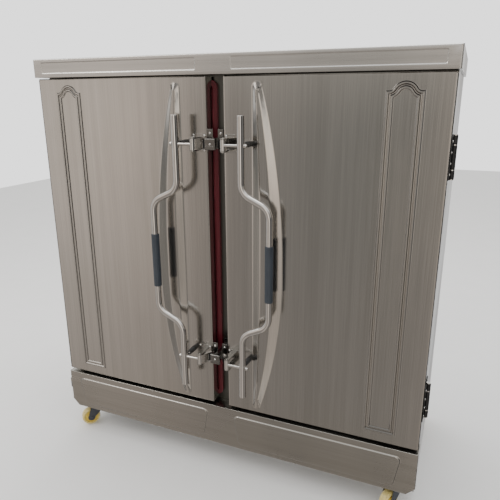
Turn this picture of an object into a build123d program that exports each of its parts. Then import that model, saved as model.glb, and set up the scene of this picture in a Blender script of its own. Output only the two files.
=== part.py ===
from build123d import *
import math
import os

# A double-door rice steamer cabinet on casters, in millimetres.
# X runs to the right as one faces the doors, -Y is the front and Z is up from the floor.
# The origin is on the floor under the middle of the whole object.

# Overall sizes
WIDTH = 1400.0
DEPTH = 640.0
BODY_HEIGHT = 1390.4
SHEET = 1.5

# Front of the cabinet, from the doors' front face
DOOR_THICK = 40.0
DOOR_GAP = 61.0
SEAL_GAP = 12.0
FRAME_SET_BACK = DOOR_THICK + SEAL_GAP
CAP_REACH = 13.0
CAP_HALF = WIDTH / 2 + 7.5
CAP_HEIGHT = 61.6
CAP_SLOT = 5.0
SKIRT_REACH = 8.0
SKIRT_HALF = WIDTH / 2 + 3.0
SKIRT_HEIGHT = 161.8
SKIRT_SLOT = 11.8
SKIRT_CORNER = 28.0
HANDLE_REACH = 60.0
STUB_REACH = 25.0

# Handle tube, its grip and its latches
TUBE_R = 11.0
TUBE_WALL = 1.5
SLEEVE_WALL = 1.0
SLEEVE_R = TUBE_R + SLEEVE_WALL
SLEEVE_LENGTH = 96.0
SLEEVE_SWING = 15.5
TUBE_NEAR_X = 113.0
TUBE_FAR_X = 207.0
TUBE_BEND_R = 50.0
GRIP_WALL = 2.5
GRIP_R = TUBE_R + GRIP_WALL
GRIP_LENGTH = 188.0
ROD_R = 5.0
ROLLER_R = 7.0
ROLLER_HALF = 12.5
FORK_HALF = ROLLER_HALF + 4.5
LIP_HALF = 18.0
LIP_THICK = 6.0
LIP_BACK = 38.5
LIP_CLEAR = 1.8
LIP_SWING = 7.5
ROLLER = (LIP_HALF + ROLLER_R + LIP_CLEAR, -(LIP_BACK - ROLLER_R - LIP_SWING))
PIVOT = (ROLLER[0] + 26.0, 4.0 - HANDLE_REACH)
RUNNING = 0.08
BUMPER_HEIGHT = HANDLE_REACH - SLEEVE_R - SLEEVE_SWING

# Hinges
HINGE_OUT = 8.0
HINGE_BACK = DOOR_THICK + 5.0
HINGE_R = 7.5
HINGE_PIN_R = 4.0
HINGE_HALF = 60.0
HINGE_MIDDLE = 33.0
WASHER = 3.0

# Chambers, racks and tank
OPENING_NEAR = 46.0
OPENING_FAR = WIDTH / 2 - 42.0
LINER_NEAR = 38.0
LINER_FAR = WIDTH / 2 - 32.0
LEVEL_PITCH = 80.0
RUNNER_WIDTH = 24.0

# Rear fittings
INLET_X = WIDTH / 2 - 200.0
HEATER_PITCH = INLET_X - 100.0
DRAIN_X = WIDTH / 2 - 50.0
STUB_R = 10.5
STUB_COLLAR_R = 13.0
VENT_R = 15.0

# Casters
CASTER_X = WIDTH / 2 - 68.0
CASTER_INSET = 52.0
WHEEL_R = 37.5
HEAD_HEIGHT = 30.0
WHEEL_WIDTH = 32.0
TRAIL = 28.0
KINGPIN_R = 6.0

# Levels and planes that follow from the sizes above
FRONT = -(DEPTH + STUB_REACH - HANDLE_REACH - GRIP_R) / 2
BACK = FRONT + DEPTH
LINER_BACK = BACK - 43.5
FRAME_Y = FRONT + FRAME_SET_BACK
BASE = 2 * WHEEL_R + HEAD_HEIGHT
TOP = BASE + BODY_HEIGHT
CAP_LOW = TOP - CAP_HEIGHT
DOOR_HIGH = CAP_LOW - CAP_SLOT
SKIRT_TOP = BASE + SKIRT_HEIGHT
DOOR_LOW = SKIRT_TOP + SKIRT_SLOT
DOOR_NEAR = DOOR_GAP / 2
DOOR_FAR = WIDTH / 2
OPENING_LOW = DOOR_LOW + 47.4
OPENING_HIGH = DOOR_HIGH - 46.8
LEVELS = int((OPENING_HIGH - OPENING_LOW - 90) / LEVEL_PITCH)
LINER_LOW = OPENING_LOW - 18.0
LINER_HIGH = OPENING_HIGH + 18.0
DOOR_HEIGHT = DOOR_HIGH - DOOR_LOW
LATCH_HIGH = DOOR_LOW + 0.8235 * DOOR_HEIGHT
LATCH_LOW = DOOR_LOW + 0.1751 * DOOR_HEIGHT
HINGE_HIGH = DOOR_LOW + 0.8055 * DOOR_HEIGHT
HINGE_LOW = DOOR_LOW + 0.1403 * DOOR_HEIGHT
TUBE_TOP = LATCH_HIGH + 87.0
TUBE_BOTTOM = LATCH_LOW - 109.0
GRIP_MID = DOOR_LOW + 0.4785 * DOOR_HEIGHT


def block(x, y, z):
    """A box between three pairs of limits."""
    centre = Pos((x[0] + x[1]) / 2, (y[0] + y[1]) / 2, (z[0] + z[1]) / 2)
    return centre * Box(x[1] - x[0], y[1] - y[0], z[1] - z[0])


def upright(x, y, z, radius):
    """A vertical cylinder over a pair of heights."""
    return Pos(x, y, (z[0] + z[1]) / 2) * Cylinder(radius, z[1] - z[0])


def along_x(x, y, z, radius):
    """A cylinder that lies from left to right over a pair of X limits."""
    return Pos((x[0] + x[1]) / 2, y, z) * Rot(0, 90, 0) * Cylinder(radius, x[1] - x[0])


def along_y(x, y, z, radius):
    """A cylinder that lies from front to back over a pair of Y limits."""
    return Pos(x, (y[0] + y[1]) / 2, z) * Rot(90, 0, 0) * Cylinder(radius, y[1] - y[0])


def facing(y):
    """The vertical drawing plane at y, seen from the front."""
    return Plane(origin=(0, y, 0), x_dir=(1, 0, 0), z_dir=(0, -1, 0))


def as_drawn(shape):
    """A shape where it was drawn, on the right half of the cabinet."""
    return shape


def other_side(shape):
    """The mirror image on the left half of the cabinet."""
    return mirror(shape, Plane.YZ)


def both_sides(shapes):
    """Solids of the right half with their mirror images."""
    return list(shapes) + [other_side(shape) for shape in shapes]


def pressed_out(sheet, form):
    """Presses a form out of a sheet, which keeps its thickness behind it."""
    return sheet + form - Pos(0, SHEET, 0) * form


def pressed_in(sheet, form):
    """Presses a form into a sheet from the front."""
    return sheet + Pos(0, SHEET, 0) * form - form


def bent_sheet(points, length, plane, radius=2.0):
    """A strip of sheet bent along a profile and drawn out square to its plane."""
    line = FilletPolyline(*points, radius=radius)
    profile = make_face(offset(line, amount=SHEET, side=Side.LEFT, closed=True))
    return extrude(plane * profile, amount=length)


def pan_head(x, y, z, shank):
    """A pan-head screw driven from the front, with its shank in its own hole."""
    head = Pos(x, y, z) * Rot(90, 0, 0) * Cylinder(3.6, 2.4, align=(Align.CENTER, Align.CENTER, Align.MIN))
    head = chamfer(head.faces().sort_by(Axis.Y)[0].edges(), 0.9)
    return head + along_y(x, (y, y + shank), z, 1.9)


# Cabinet shell


def side_panels():
    """The two outer side sheets, each with a return flange at the front and the back."""
    edge = WIDTH / 2
    front, back = FRAME_Y + SHEET, BACK - SHEET
    profile = [(edge - 22, front), (edge, front), (edge, back), (edge - 22, back)]
    panel = bent_sheet(profile, CAP_LOW - BASE, Plane.XY.offset(BASE))
    panel -= block((edge - 25, edge - SHEET), (front, back), (BASE, BASE + 41))
    return both_sides([panel])


def rear_panel():
    """The back sheet with holes for the water stub, the cable gland and the vents."""
    panel = block((-WIDTH / 2, WIDTH / 2), (BACK - SHEET, BACK), (BASE, CAP_LOW))
    for x, z, radius in rear_holes():
        panel -= along_y(x, (BACK - 5, BACK + 5), z, radius)
    return [panel]


def rear_holes():
    """Where the rear fittings pass the back sheet, with their radii."""
    middle = (LINER_NEAR + LINER_FAR) / 2
    low = BASE + 125
    vent = LINER_HIGH - 40
    return [
        (-INLET_X, low, STUB_COLLAR_R),
        (INLET_X, low, 10),
        (-middle, vent, VENT_R),
        (middle, vent, VENT_R),
    ]


def front_frame():
    """The front frame, welded from a sill, a head, two stiles and a mullion with folded edges."""
    low = BASE + 60
    width, height = OPENING_FAR - OPENING_NEAR, OPENING_HIGH - OPENING_LOW
    middle_x, middle_z = (OPENING_NEAR + OPENING_FAR) / 2, (OPENING_LOW + OPENING_HIGH) / 2
    outline = Pos(0, (low + CAP_LOW) / 2) * Rectangle(WIDTH, CAP_LOW - low)
    frame = extrude(facing(FRAME_Y + SHEET) * outline, amount=SHEET)
    for side in (-1, 1):
        centre = Pos(side * middle_x, middle_z)
        collar = centre * Rectangle(width + 2 * SHEET, height + 2 * SHEET)
        frame += extrude(facing(FRAME_Y + 14) * collar, amount=14)
        frame -= extrude(facing(FRAME_Y + 20) * centre * Rectangle(width, height), amount=30)
    frame -= along_y(-DRAIN_X, (FRAME_Y - 5, FRAME_Y + 5), BASE + 100, 8)
    strips = []
    for span in ((low, OPENING_LOW), (OPENING_LOW, OPENING_HIGH), (OPENING_HIGH, CAP_LOW)):
        band = block((-WIDTH / 2, WIDTH / 2), (FRAME_Y, FRAME_Y + 14), span)
        strips += (frame & band).solids()
    return strips


def top_cap():
    """The lid: a fascia with two long pressed panels, and flanges that sit on the body."""
    outline = Plane.XY.offset(CAP_LOW) * rounded_plan(CAP_HALF, FRONT - CAP_REACH, BACK, 5)
    inside = rounded_plan(CAP_HALF - SHEET, FRONT - CAP_REACH + SHEET, BACK - SHEET, 3.5)
    cavity = Plane.XY.offset(CAP_LOW) * inside
    mouth_x = (-CAP_HALF + 30, CAP_HALF - 30)
    mouth = block(mouth_x, (FRAME_Y + 12, BACK - 24), (CAP_LOW - 1, CAP_LOW + SHEET + 1))
    cap = extrude(outline, amount=CAP_HEIGHT)
    cap -= Pos(0, 0, SHEET) * extrude(cavity, amount=CAP_HEIGHT - 2 * SHEET)
    cap -= mouth
    near, far, low, high = 60, CAP_HALF - 35.5, CAP_LOW + 13.3, TOP - 11.3
    panel = RectangleRounded(far - near, high - low, 5)
    for side in (-1, 1):
        drawn = facing(FRONT - CAP_REACH) * Pos(side * (near + far) / 2, (low + high) / 2) * panel
        cap = pressed_in(cap, extrude(drawn, amount=2, dir=(0, 1, 0), taper=40))
    return [cap]


def rounded_plan(half, y_front, y_back, radius):
    """A plan outline with its vertical corners rounded."""
    return Pos(0, (y_front + y_back) / 2) * RectangleRounded(2 * half, y_back - y_front, radius)


def skirt_outline(inset):
    """The skirt seen from the front, with its two lower corners cut off."""
    half, low, high = SKIRT_HALF - inset, BASE + inset, SKIRT_TOP - inset
    cut = SKIRT_CORNER - 0.6 * inset
    left = [(-half, high), (-half, low + cut), (-half + cut, low)]
    points = left + [(-x, z) for x, z in reversed(left)]
    return make_face(Polyline(*points, close=True))


def skirt_form():
    """One raised panel of the skirt, narrower at its foot, with rounded corners."""
    near, far, slant = 51, SKIRT_HALF - 51, 20
    low, high = BASE + 20, SKIRT_TOP - 22
    corners = [(near, high), (far, high), (far - slant, low), (near + slant, low)]
    outline = make_face(Polyline(*corners, close=True))
    return fillet(outline.vertices(), 18)


def skirt_panel():
    """The front skirt, a shallow pan with two raised panels and open at the back."""
    face_y = FRONT - SKIRT_REACH
    skirt = extrude(facing(FRAME_Y) * skirt_outline(0), amount=FRAME_Y - face_y)
    skirt -= extrude(facing(FRAME_Y) * skirt_outline(SHEET), amount=FRAME_Y - face_y - SHEET)
    skirt -= block((63 - SKIRT_HALF, SKIRT_HALF - 63), (FRONT + 12, FRAME_Y), (BASE, BASE + SHEET))
    skirt -= block((-SKIRT_HALF, SKIRT_HALF), (FRONT + 12, FRAME_Y), (BASE, BASE + SKIRT_CORNER + 20))
    for side in (as_drawn, other_side):
        form = extrude(facing(face_y) * skirt_form(), amount=4, taper=40)
        skirt = pressed_out(skirt, side(form))
    skirt -= along_x((-SKIRT_HALF - 5, -SKIRT_HALF + 5), FRONT + 30, BASE + 100, 8)
    return [skirt]


def base_frame():
    """The chassis: a ring of channel with corner plates for the casters and two cross rails."""
    half, near, far = WIDTH / 2 - SHEET, FRONT + 14, BACK - SHEET
    low, high, wall = BASE, BASE + 40, 3
    ring = block((-half, half), (near, far), (low, high))
    ring -= block((-half + wall, half - wall), (near + wall, far - wall), (low + wall, high - wall))
    ring -= block((-half + 40, half - 40), (near + 40, far - 40), (low - 1, high + 1))
    for x in (-230, 230):
        ring += block((x - 20, x + 20), (near + wall, far - wall), (low, low + wall))
    for x, y in caster_places():
        side = 1 if x > 0 else -1
        inner = x - side * 60
        rim = near if y < 0 else far
        reach = (rim, y + 60) if y < 0 else (y - 60, rim)
        ring += block(sorted((inner, side * half)), reach, (low, low + wall))
        for bx, by in bolt_places(x, y):
            ring -= upright(bx, by, (low - 1, low + wall + 1), 4)
    return [ring]


def insulation():
    """Slabs of insulation between the liners and the outer sheets."""
    side = (LINER_FAR + SHEET, WIDTH / 2 - SHEET)
    front, back = FRAME_Y + 23, LINER_BACK + SHEET
    rear = block((-side[0], side[0]), (back, BACK - SHEET), (LINER_LOW, LINER_HIGH))
    for x, z, radius in rear_holes()[2:]:
        rear -= along_y(x, (back - 5, BACK), z, radius)
    lid = block((-WIDTH / 2 + SHEET, WIDTH / 2 - SHEET), (front, BACK - 4), (LINER_HIGH, CAP_LOW))
    core = block((-LINER_NEAR + SHEET, LINER_NEAR - SHEET), (front, back), (LINER_LOW, LINER_HIGH))
    wall = block(side, (front, BACK - 4), (BASE + 60, LINER_HIGH))
    return [rear, lid, core] + both_sides([wall])


# Chambers


def chamber_liners():
    """The welded sheets of the two inner boxes: two walls, a roof and a back each."""
    deep, tall = (FRAME_Y + SHEET, LINER_BACK), (LINER_LOW, LINER_HIGH)
    near_wall = block((LINER_NEAR - SHEET, LINER_NEAR), deep, tall)
    far_wall = block((LINER_FAR, LINER_FAR + SHEET), deep, tall)
    roof = block((LINER_NEAR, LINER_FAR), deep, (LINER_HIGH - SHEET, LINER_HIGH))
    back = block((LINER_NEAR - SHEET, LINER_FAR + SHEET), (LINER_BACK, LINER_BACK + SHEET), tall)
    middle = (LINER_NEAR + LINER_FAR) / 2
    back -= along_y(middle, (LINER_BACK - 5, LINER_BACK + 5), LINER_HIGH - 40, VENT_R)
    return both_sides([near_wall, far_wall, roof, back])


def chamber_floors():
    """The chambers' floors, open over the water tank."""
    floor = block((LINER_NEAR, LINER_FAR), (FRAME_Y + SHEET, LINER_BACK), (LINER_LOW, LINER_LOW + SHEET))
    mouth_x = (LINER_NEAR + 75, LINER_FAR - 75)
    mouth = block(mouth_x, (FRAME_Y + 60, LINER_BACK - 57), (LINER_LOW - 1, LINER_LOW + 5))
    return both_sides([floor - mouth])


def steam_plates():
    """The slotted plates that lie over the floor openings."""
    floor = LINER_LOW + SHEET
    across = (LINER_NEAR + 62, LINER_FAR - 62)
    plate = block(across, (FRAME_Y + 47, LINER_BACK - 44), (floor, floor + SHEET))
    middle = (LINER_NEAR + LINER_FAR) / 2
    centre_y = (FRAME_Y + LINER_BACK + 3) / 2
    slot = (across[1] - across[0] - 146) / 2
    pitch = (LINER_BACK - FRAME_Y - 208.5) / 8
    slots = GridLocations(slot + 40, pitch, 2, 9)
    cutter = Sketch() + [place * Rectangle(slot, 8) for place in slots]
    plate -= extrude(Plane.XY.offset(floor - 1) * Pos(middle, centre_y) * cutter, amount=SHEET + 2)
    return both_sides([plate])


def rack_uprights():
    """Eight strips on the chamber walls that carry the runners."""
    strips = []
    for wall_x, inward in ((LINER_NEAR, 1), (LINER_FAR, -1)):
        limits = sorted((wall_x, wall_x + inward * 3))
        for y in (FRAME_Y + 60, LINER_BACK - 80):
            strips.append(block(limits, (y, y + 22), (OPENING_LOW + 4, OPENING_HIGH - 12)))
    return both_sides(strips)


def tray_runners():
    """The angle runners, a pair at every level in each chamber."""
    runners = []
    for face, inward in ((LINER_NEAR + 3, 1), (LINER_FAR - 3, -1)):
        profile = [(face, -16), (face, 0), (face + inward * RUNNER_WIDTH, 0)]
        side = Side.RIGHT if inward > 0 else Side.LEFT
        angle = make_face(offset(FilletPolyline(*profile, radius=2), amount=SHEET, side=side, closed=True))
        runner = extrude(facing(LINER_BACK - 4) * angle, amount=LINER_BACK - 20 - FRAME_Y)
        for level in range(LEVELS):
            runners.append(Pos(0, 0, OPENING_LOW + 70 + level * LEVEL_PITCH) * runner)
    return both_sides(runners)


def water_tank():
    """The shallow tank that hangs under both chambers by its rim."""
    x, y = (-WIDTH / 2 + 40, WIDTH / 2 - 40), (FRAME_Y + 28, LINER_BACK - 6.5)
    low, high = BASE + 85, LINER_LOW
    tank = block(x, y, (low, high))
    tank += block((x[0] - 8, x[1] + 8), (y[0] - 8, y[1] + 8), (high - SHEET, high))
    tank -= block((x[0] + SHEET, x[1] - SHEET), (y[0] + SHEET, y[1] - SHEET), (low + SHEET, high + 1))
    for place in (-HEATER_PITCH, 0, HEATER_PITCH):
        for leg in (-30, 30):
            tank -= along_y(place + leg, (y[1] - 5, y[1] + 5), BASE + 130, 6)
    tank -= along_y(-DRAIN_X, (y[0] - 5, y[0] + 5), BASE + 100, 8)
    tank -= along_y(-INLET_X - 60, (y[1] - 5, y[1] + 5), BASE + 110, 7)
    return [tank]


def heaters():
    """Three hairpin elements that enter through the tank's rear wall on a flange."""
    rear = LINER_BACK - 6.5
    z = BASE + 130
    ends = [(-30, rear + 5, z), (-30, rear - 380, z), (30, rear - 380, z), (30, rear + 5, z)]
    bend = FilletPolyline(*ends, radius=28)
    start = Plane(origin=bend @ 0, z_dir=bend % 0)
    hairpin = sweep(start * Circle(6), path=bend)
    flange = along_y(0, (rear, rear + 5), z, 44)
    return [Pos(x, 0, 0) * (hairpin + flange) for x in (-HEATER_PITCH, 0, HEATER_PITCH)]


def float_box():
    """The feed box behind the tank, with a threaded water stub through the back sheet."""
    rear = LINER_BACK - 6.5
    low, high = BASE + 60, BASE + 175
    left, right, feed = -INLET_X - 90, -INLET_X + 70, -INLET_X - 60
    box = block((left, right), (rear + 9, BACK - SHEET), (low, high))
    box -= block((left + 2, right - 2), (rear + 11, BACK - SHEET - 2), (low + 2, high + 1))
    box += along_y(feed, (rear - SHEET - 6, rear + 11), BASE + 110, 7)
    box += along_y(-INLET_X, (BACK - SHEET - 2, BACK + 2), BASE + 125, STUB_COLLAR_R)
    box += along_y(-INLET_X, (BACK + 2, BACK + STUB_REACH), BASE + 125, STUB_R)
    box -= along_y(feed, (rear - SHEET - 7, rear + 12), BASE + 110, 5)
    box -= along_y(-INLET_X, (BACK - SHEET - 3, BACK + STUB_REACH + 1), BASE + 125, 7.5)
    return [box]


def cable_gland():
    """The gland for a supply cable, a nut and a domed cap on a threaded neck."""
    x, z = INLET_X, BASE + 125
    neck = along_y(x, (BACK - SHEET - 10, BACK + 8), z, 10)
    inner = along_y(x, (BACK - SHEET - 6, BACK - SHEET), z, 14)
    collar = Pos(x, BACK, z) * Rot(-90, 0, 0) * extrude(RegularPolygon(15, 6), amount=8)
    cap = along_y(x, (BACK + 8, BACK + STUB_REACH - 3), z, 13)
    cap = chamfer(cap.faces().sort_by(Axis.Y)[-1].edges(), 4)
    bore = along_y(x, (BACK - 20, BACK + STUB_REACH + 1), z, 5.5)
    return [neck + inner + collar + cap - bore]


def steam_vents():
    """One vent pipe from the back of each chamber through the back sheet."""
    middle = (LINER_NEAR + LINER_FAR) / 2
    reach = (LINER_BACK, BACK + STUB_REACH - 5)
    height = LINER_HIGH - 40
    pipe = along_y(middle, reach, height, VENT_R) - along_y(middle, reach, height, VENT_R - 2)
    return both_sides([pipe])


def drain_valve():
    """The drain cock on the skirt's left end, with its elbow into the tank."""
    y, z = FRONT + 30, BASE + 100
    wall = FRAME_Y + 28 + SHEET
    turn = (-DRAIN_X, y, z)
    path = FilletPolyline((-SKIRT_HALF - 4, y, z), turn, (-DRAIN_X, wall + 6, z), radius=14)
    start = Plane(origin=path @ 0, z_dir=path % 0)
    pipe = sweep(start * Circle(8), path=path)
    body = along_x((-SKIRT_HALF - 28, -SKIRT_HALF), y, z, 12)
    body = chamfer(body.faces().sort_by(Axis.X)[0].edges(), 2)
    stem = along_y(-SKIRT_HALF - 15, (y - 19, y), z, 3.5)
    seat = along_y(-SKIRT_HALF - 15, (y - 13, y), z, 8)
    way = along_x((-SKIRT_HALF - 30, -SKIRT_HALF + 10), y, z, 5)
    return [pipe + body + stem + seat - way]


def drain_lever():
    """The black lever on the drain cock's stem."""
    x, y, z = -SKIRT_HALF - 15, FRONT + 17, BASE + 100
    plate = Pos(x, z) * Pos(0, -12) * SlotOverall(48, 15, rotation=90)
    lever = extrude(facing(y - 0.4) * plate, amount=4)
    return [lever - along_y(x, (y - 10, y + 1), z, 3.5 + RUNNING)]


# Doors


def door_skin(side):
    """The outer door sheet: a pan with two pressed forms and returns at the back."""
    plane = facing(FRONT)
    skin = block((DOOR_NEAR, DOOR_FAR), (FRONT, FRONT + DOOR_THICK), (DOOR_LOW, DOOR_HIGH))
    edges = skin.faces().sort_by(Axis.Y)[0].edges()
    skin = fillet(edges, 2.5)
    skin -= door_hollow(FRONT + SHEET, FRONT + DOOR_THICK - SHEET, SHEET)
    skin -= door_hollow(FRONT + DOOR_THICK - 3, FRONT + DOOR_THICK + 1, 20)
    sail = loft([plane * sail_outline(0), facing(FRONT - 8) * sail_outline(1)])
    skin = pressed_out(skin, sail)
    arch = arch_outline()
    for inset in (0, 12):
        outer = offset(arch, amount=-inset, kind=Kind.INTERSECTION) if inset else arch
        inner = offset(arch, amount=-inset - 10, kind=Kind.INTERSECTION)
        bead = extrude(plane * outer, amount=4, taper=40) - extrude(plane * inner, amount=4, taper=-40)
        skin = pressed_out(skin, bead)
    for x, z in latch_screw_places():
        skin -= along_y(x, (FRONT - 5, FRONT + 5), z, 1.9)
    return side(skin)


def door_hollow(y_front, y_back, wall):
    """The door's inside between two depths, with a wall left around it."""
    height = (DOOR_LOW + wall, DOOR_HIGH - wall)
    return block((DOOR_NEAR + wall, DOOR_FAR - wall), (y_front, y_back), height)


def sail_outline(crest):
    """The long pressed form by the handle: its foot line, or its crest line."""
    low, high = DOOR_LOW, DOOR_HIGH
    if crest:
        edge, belly, head, waist, tail = 139.0, 156.0, 149.0, 193.0, 147.0
        tip, foot = high - 44, low + 54
    else:
        edge, belly, head, waist, tail = 126.0, 127.0, 157.0, 231.0, 156.0
        tip, foot = high - 32, low + 26
    mid = low + 0.4924 * DOOR_HEIGHT
    upper = (head + 0.72 * (waist - head), mid + 0.52 * (tip - mid))
    lower = (tail + 0.74 * (waist - tail), foot + 0.43 * (mid - foot))
    bulge = (head - edge) / 2
    rounding = (tail - edge) / 2
    lines = [
        ThreePointArc((edge, foot), (belly, mid), (edge, tip)),
        ThreePointArc((edge, tip), (edge + bulge, tip + bulge), (head, tip)),
        ThreePointArc((head, tip), upper, (waist, mid)),
        ThreePointArc((waist, mid), lower, (tail, foot)),
        ThreePointArc((tail, foot), (edge + rounding, foot - rounding), (edge, foot)),
    ]
    return make_face(Curve() + lines)


def arch_outline():
    """The tall pressed frame: a long rectangle under an ogee arch."""
    middle, half = WIDTH / 2 - 127.5, 52.5
    low, shoulder, peak = DOOR_LOW + 31.4, DOOR_HIGH - 45.8, DOOR_HIGH - 20.8
    crown, hollow = 38.0, 12.0
    rise = shoulder + hollow - (peak - crown)
    reach = math.sqrt((crown + hollow) ** 2 - rise**2)
    share = crown / (crown + hollow)
    join = (reach * share, peak - crown + rise * share)
    corner = math.atan2(-rise, -reach)
    bend = (corner - math.pi / 2) / 2
    knee = (reach + hollow * math.cos(bend), shoulder + hollow + hollow * math.sin(bend))
    lines = [
        Line((-half, low), (half, low)),
        Line((half, low), (half, shoulder)),
        Line((half, shoulder), (reach, shoulder)),
        ThreePointArc((reach, shoulder), knee, join),
        ThreePointArc(join, (0, peak), (-join[0], join[1])),
        ThreePointArc((-join[0], join[1]), (-knee[0], knee[1]), (-reach, shoulder)),
        Line((-reach, shoulder), (-half, shoulder)),
        Line((-half, shoulder), (-half, low)),
    ]
    return Pos(middle, 0) * make_face(Curve() + lines)


def door_pan(side):
    """The door's inner sheet with a raised field, held behind the skin's returns."""
    inner = FRONT + DOOR_THICK - SHEET
    pan = door_hollow(inner - SHEET, inner, SHEET)
    middle = Pos((DOOR_NEAR + DOOR_FAR) / 2, (DOOR_LOW + DOOR_HIGH) / 2)
    field = middle * RectangleRounded(DOOR_FAR - DOOR_NEAR - 99.5, DOOR_HEIGHT - 110, 20)
    back = Plane(origin=(0, inner, 0), x_dir=(1, 0, 0), z_dir=(0, -1, 0))
    form = extrude(back * field, amount=6, dir=(0, 1, 0), taper=30)
    return side(pan + form - Pos(0, -SHEET, 0) * form)


def door_core(side):
    """The insulating board inside the door."""
    return side(door_hollow(FRONT + SHEET, FRONT + DOOR_THICK - 2 * SHEET, SHEET))


def hinge_leaf(side, on_door):
    """Two hinge leaves with their knuckles, for the door or for the frame."""
    x, y = WIDTH / 2 + HINGE_OUT, FRONT + HINGE_BACK
    plate_x = (WIDTH / 2, WIDTH / 2 + 3)
    leaves = []
    for z in (HINGE_LOW, HINGE_HIGH):
        if on_door:
            spans = [(z - HINGE_MIDDLE + 0.1, z + HINGE_MIDDLE - 0.1)]
            leaf = block(plate_x, (FRONT + 8, y - 9), (z - HINGE_HALF, z + HINGE_HALF))
            tongue, bore = (y - 9, y), HINGE_PIN_R + RUNNING
        else:
            outer = HINGE_MIDDLE + WASHER
            spans = [(z - HINGE_HALF, z - outer), (z + outer, z + HINGE_HALF)]
            leaf = block(plate_x, (y + 9, y + 47), (z - HINGE_HALF, z + HINGE_HALF))
            tongue, bore = (y, y + 9), HINGE_PIN_R
        for span in spans:
            leaf += block(plate_x, tongue, span) + upright(x, y, span, HINGE_R)
            leaf -= upright(x, y, span, bore)
        leaves.append(side(leaf))
    return leaves


def hinge_pins():
    """The hinge pins and the bright washers between the knuckles."""
    x, y = WIDTH / 2 + HINGE_OUT, FRONT + HINGE_BACK
    solids = []
    for z in (HINGE_LOW, HINGE_HIGH):
        pin = upright(x, y, (z - HINGE_HALF - 2.5, z + HINGE_HALF + 2.5), HINGE_PIN_R)
        for low in (z - HINGE_HALF - 2.5, z + HINGE_HALF):
            pin += upright(x, y, (low, low + 2.5), HINGE_R - 1)
        solids.append(pin)
        for low in (z - HINGE_MIDDLE - WASHER, z + HINGE_MIDDLE):
            span = (low, low + WASHER)
            solids.append(upright(x, y, span, HINGE_R - 0.3) - upright(x, y, span, HINGE_PIN_R))
    return both_sides(solids)


def door_seals():
    """The silicone gasket around each opening, with a groove along its face."""
    seals = []
    depth = FRAME_SET_BACK - DOOR_THICK - 0.3
    centre = Pos((12 + DOOR_FAR - 8) / 2, (DOOR_LOW + DOOR_HIGH) / 2)
    width, height = DOOR_FAR - 20, DOOR_HEIGHT - 18
    band = (OPENING_NEAR - 12) * 2
    ring = centre * (RectangleRounded(width, height, 24) - RectangleRounded(width - band, height - band, 8))
    seal = extrude(facing(FRAME_Y) * ring, amount=depth)
    groove = centre * (
        RectangleRounded(width - band / 2 + 8, height - band / 2 + 8, 18)
        - RectangleRounded(width - band / 2 - 4, height - band / 2 - 4, 14)
    )
    seal -= extrude(facing(FRAME_Y - depth + 5) * groove, amount=6)
    seals.append(seal)
    return both_sides(seals)


# Latches and handles


def latch_screw_places():
    """Where the latch plates and the bumpers are screwed to a door."""
    places = []
    for z in (LATCH_LOW, LATCH_HIGH):
        for x in (38.5, 77.5):
            places += [(x, z - 23), (x, z + 23)]
        places.append((TUBE_NEAR_X - 3, z))
    return places


def latch_bases(side):
    """Plates with two ears and a peened pin, on which the latch levers turn."""
    x, y = PIVOT[0], FRONT + PIVOT[1]
    bases = []
    for z in (LATCH_LOW, LATCH_HIGH):
        plate = facing(FRONT) * Pos(58, z) * RectangleRounded(50, 58, 6)
        base = extrude(plate, amount=3)
        for low in (z + FORK_HALF + 0.8, z - FORK_HALF - 4.3):
            height = (low, low + 3.5)
            ear = block((x - 10, x + 10), (y, FRONT - 3), height) + upright(x, y, height, 10)
            base += ear
        pin = upright(x, y, (z - FORK_HALF - 6.3, z + FORK_HALF + 6.3), 4)
        base += pin
        for sx, sz in latch_screw_places():
            base -= along_y(sx, (FRONT - 5, FRONT + 1), sz, 1.9)
        bases.append(side(base))
    return bases


def latch_screws(side):
    """The screws of the latch plates and of the bumpers on one door."""
    screws = []
    for x, z in latch_screw_places():
        if x < 100:
            screws.append(side(pan_head(x, FRONT - 3, z, 3 + SHEET)))
        else:
            screws.append(side(pan_head(x, FRONT - BUMPER_HEIGHT + 4, z, BUMPER_HEIGHT - 4 + SHEET)))
    return screws


def bumpers(side):
    """Rubber stops on the door behind the handle's sleeves."""
    stops = []
    for x, z in latch_screw_places():
        if x > 100:
            seated = (Align.CENTER, Align.CENTER, Align.MIN)
            cone = Rot(90, 0, 0) * Cone(9.5, 8, BUMPER_HEIGHT, align=seated)
            stop = Pos(x, FRONT, z) * cone
            stop -= along_y(x, (FRONT - BUMPER_HEIGHT - 1, FRONT - BUMPER_HEIGHT + 4), z, 4.6)
            stops.append(side(stop - along_y(x, (FRONT - BUMPER_HEIGHT, FRONT), z, 1.9)))
    return stops


def handle_tube(side):
    """The bent tube, which swings out and back so that a hand fits round its grip."""
    swing, drop = TUBE_FAR_X - TUBE_NEAR_X, 43.8
    y = FRONT - HANDLE_REACH
    high, low = GRIP_MID + 251, GRIP_MID - 226
    points = [
        (TUBE_NEAR_X, y, TUBE_TOP),
        (TUBE_NEAR_X, y, high),
        (TUBE_NEAR_X + swing, y, high - drop),
        (TUBE_NEAR_X + swing, y, low + drop),
        (TUBE_NEAR_X, y, low),
        (TUBE_NEAR_X, y, TUBE_BOTTOM),
    ]
    path = FilletPolyline(*points, radius=TUBE_BEND_R)
    start = Plane(origin=path @ 0, z_dir=path % 0)
    tube = sweep(start * (Circle(TUBE_R) - Circle(TUBE_R - TUBE_WALL)), path=path)
    for z in (LATCH_LOW, LATCH_HIGH):
        tube -= along_x((TUBE_NEAR_X - 20, TUBE_NEAR_X + 20), y, z, ROD_R)
    return side(tube)


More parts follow.
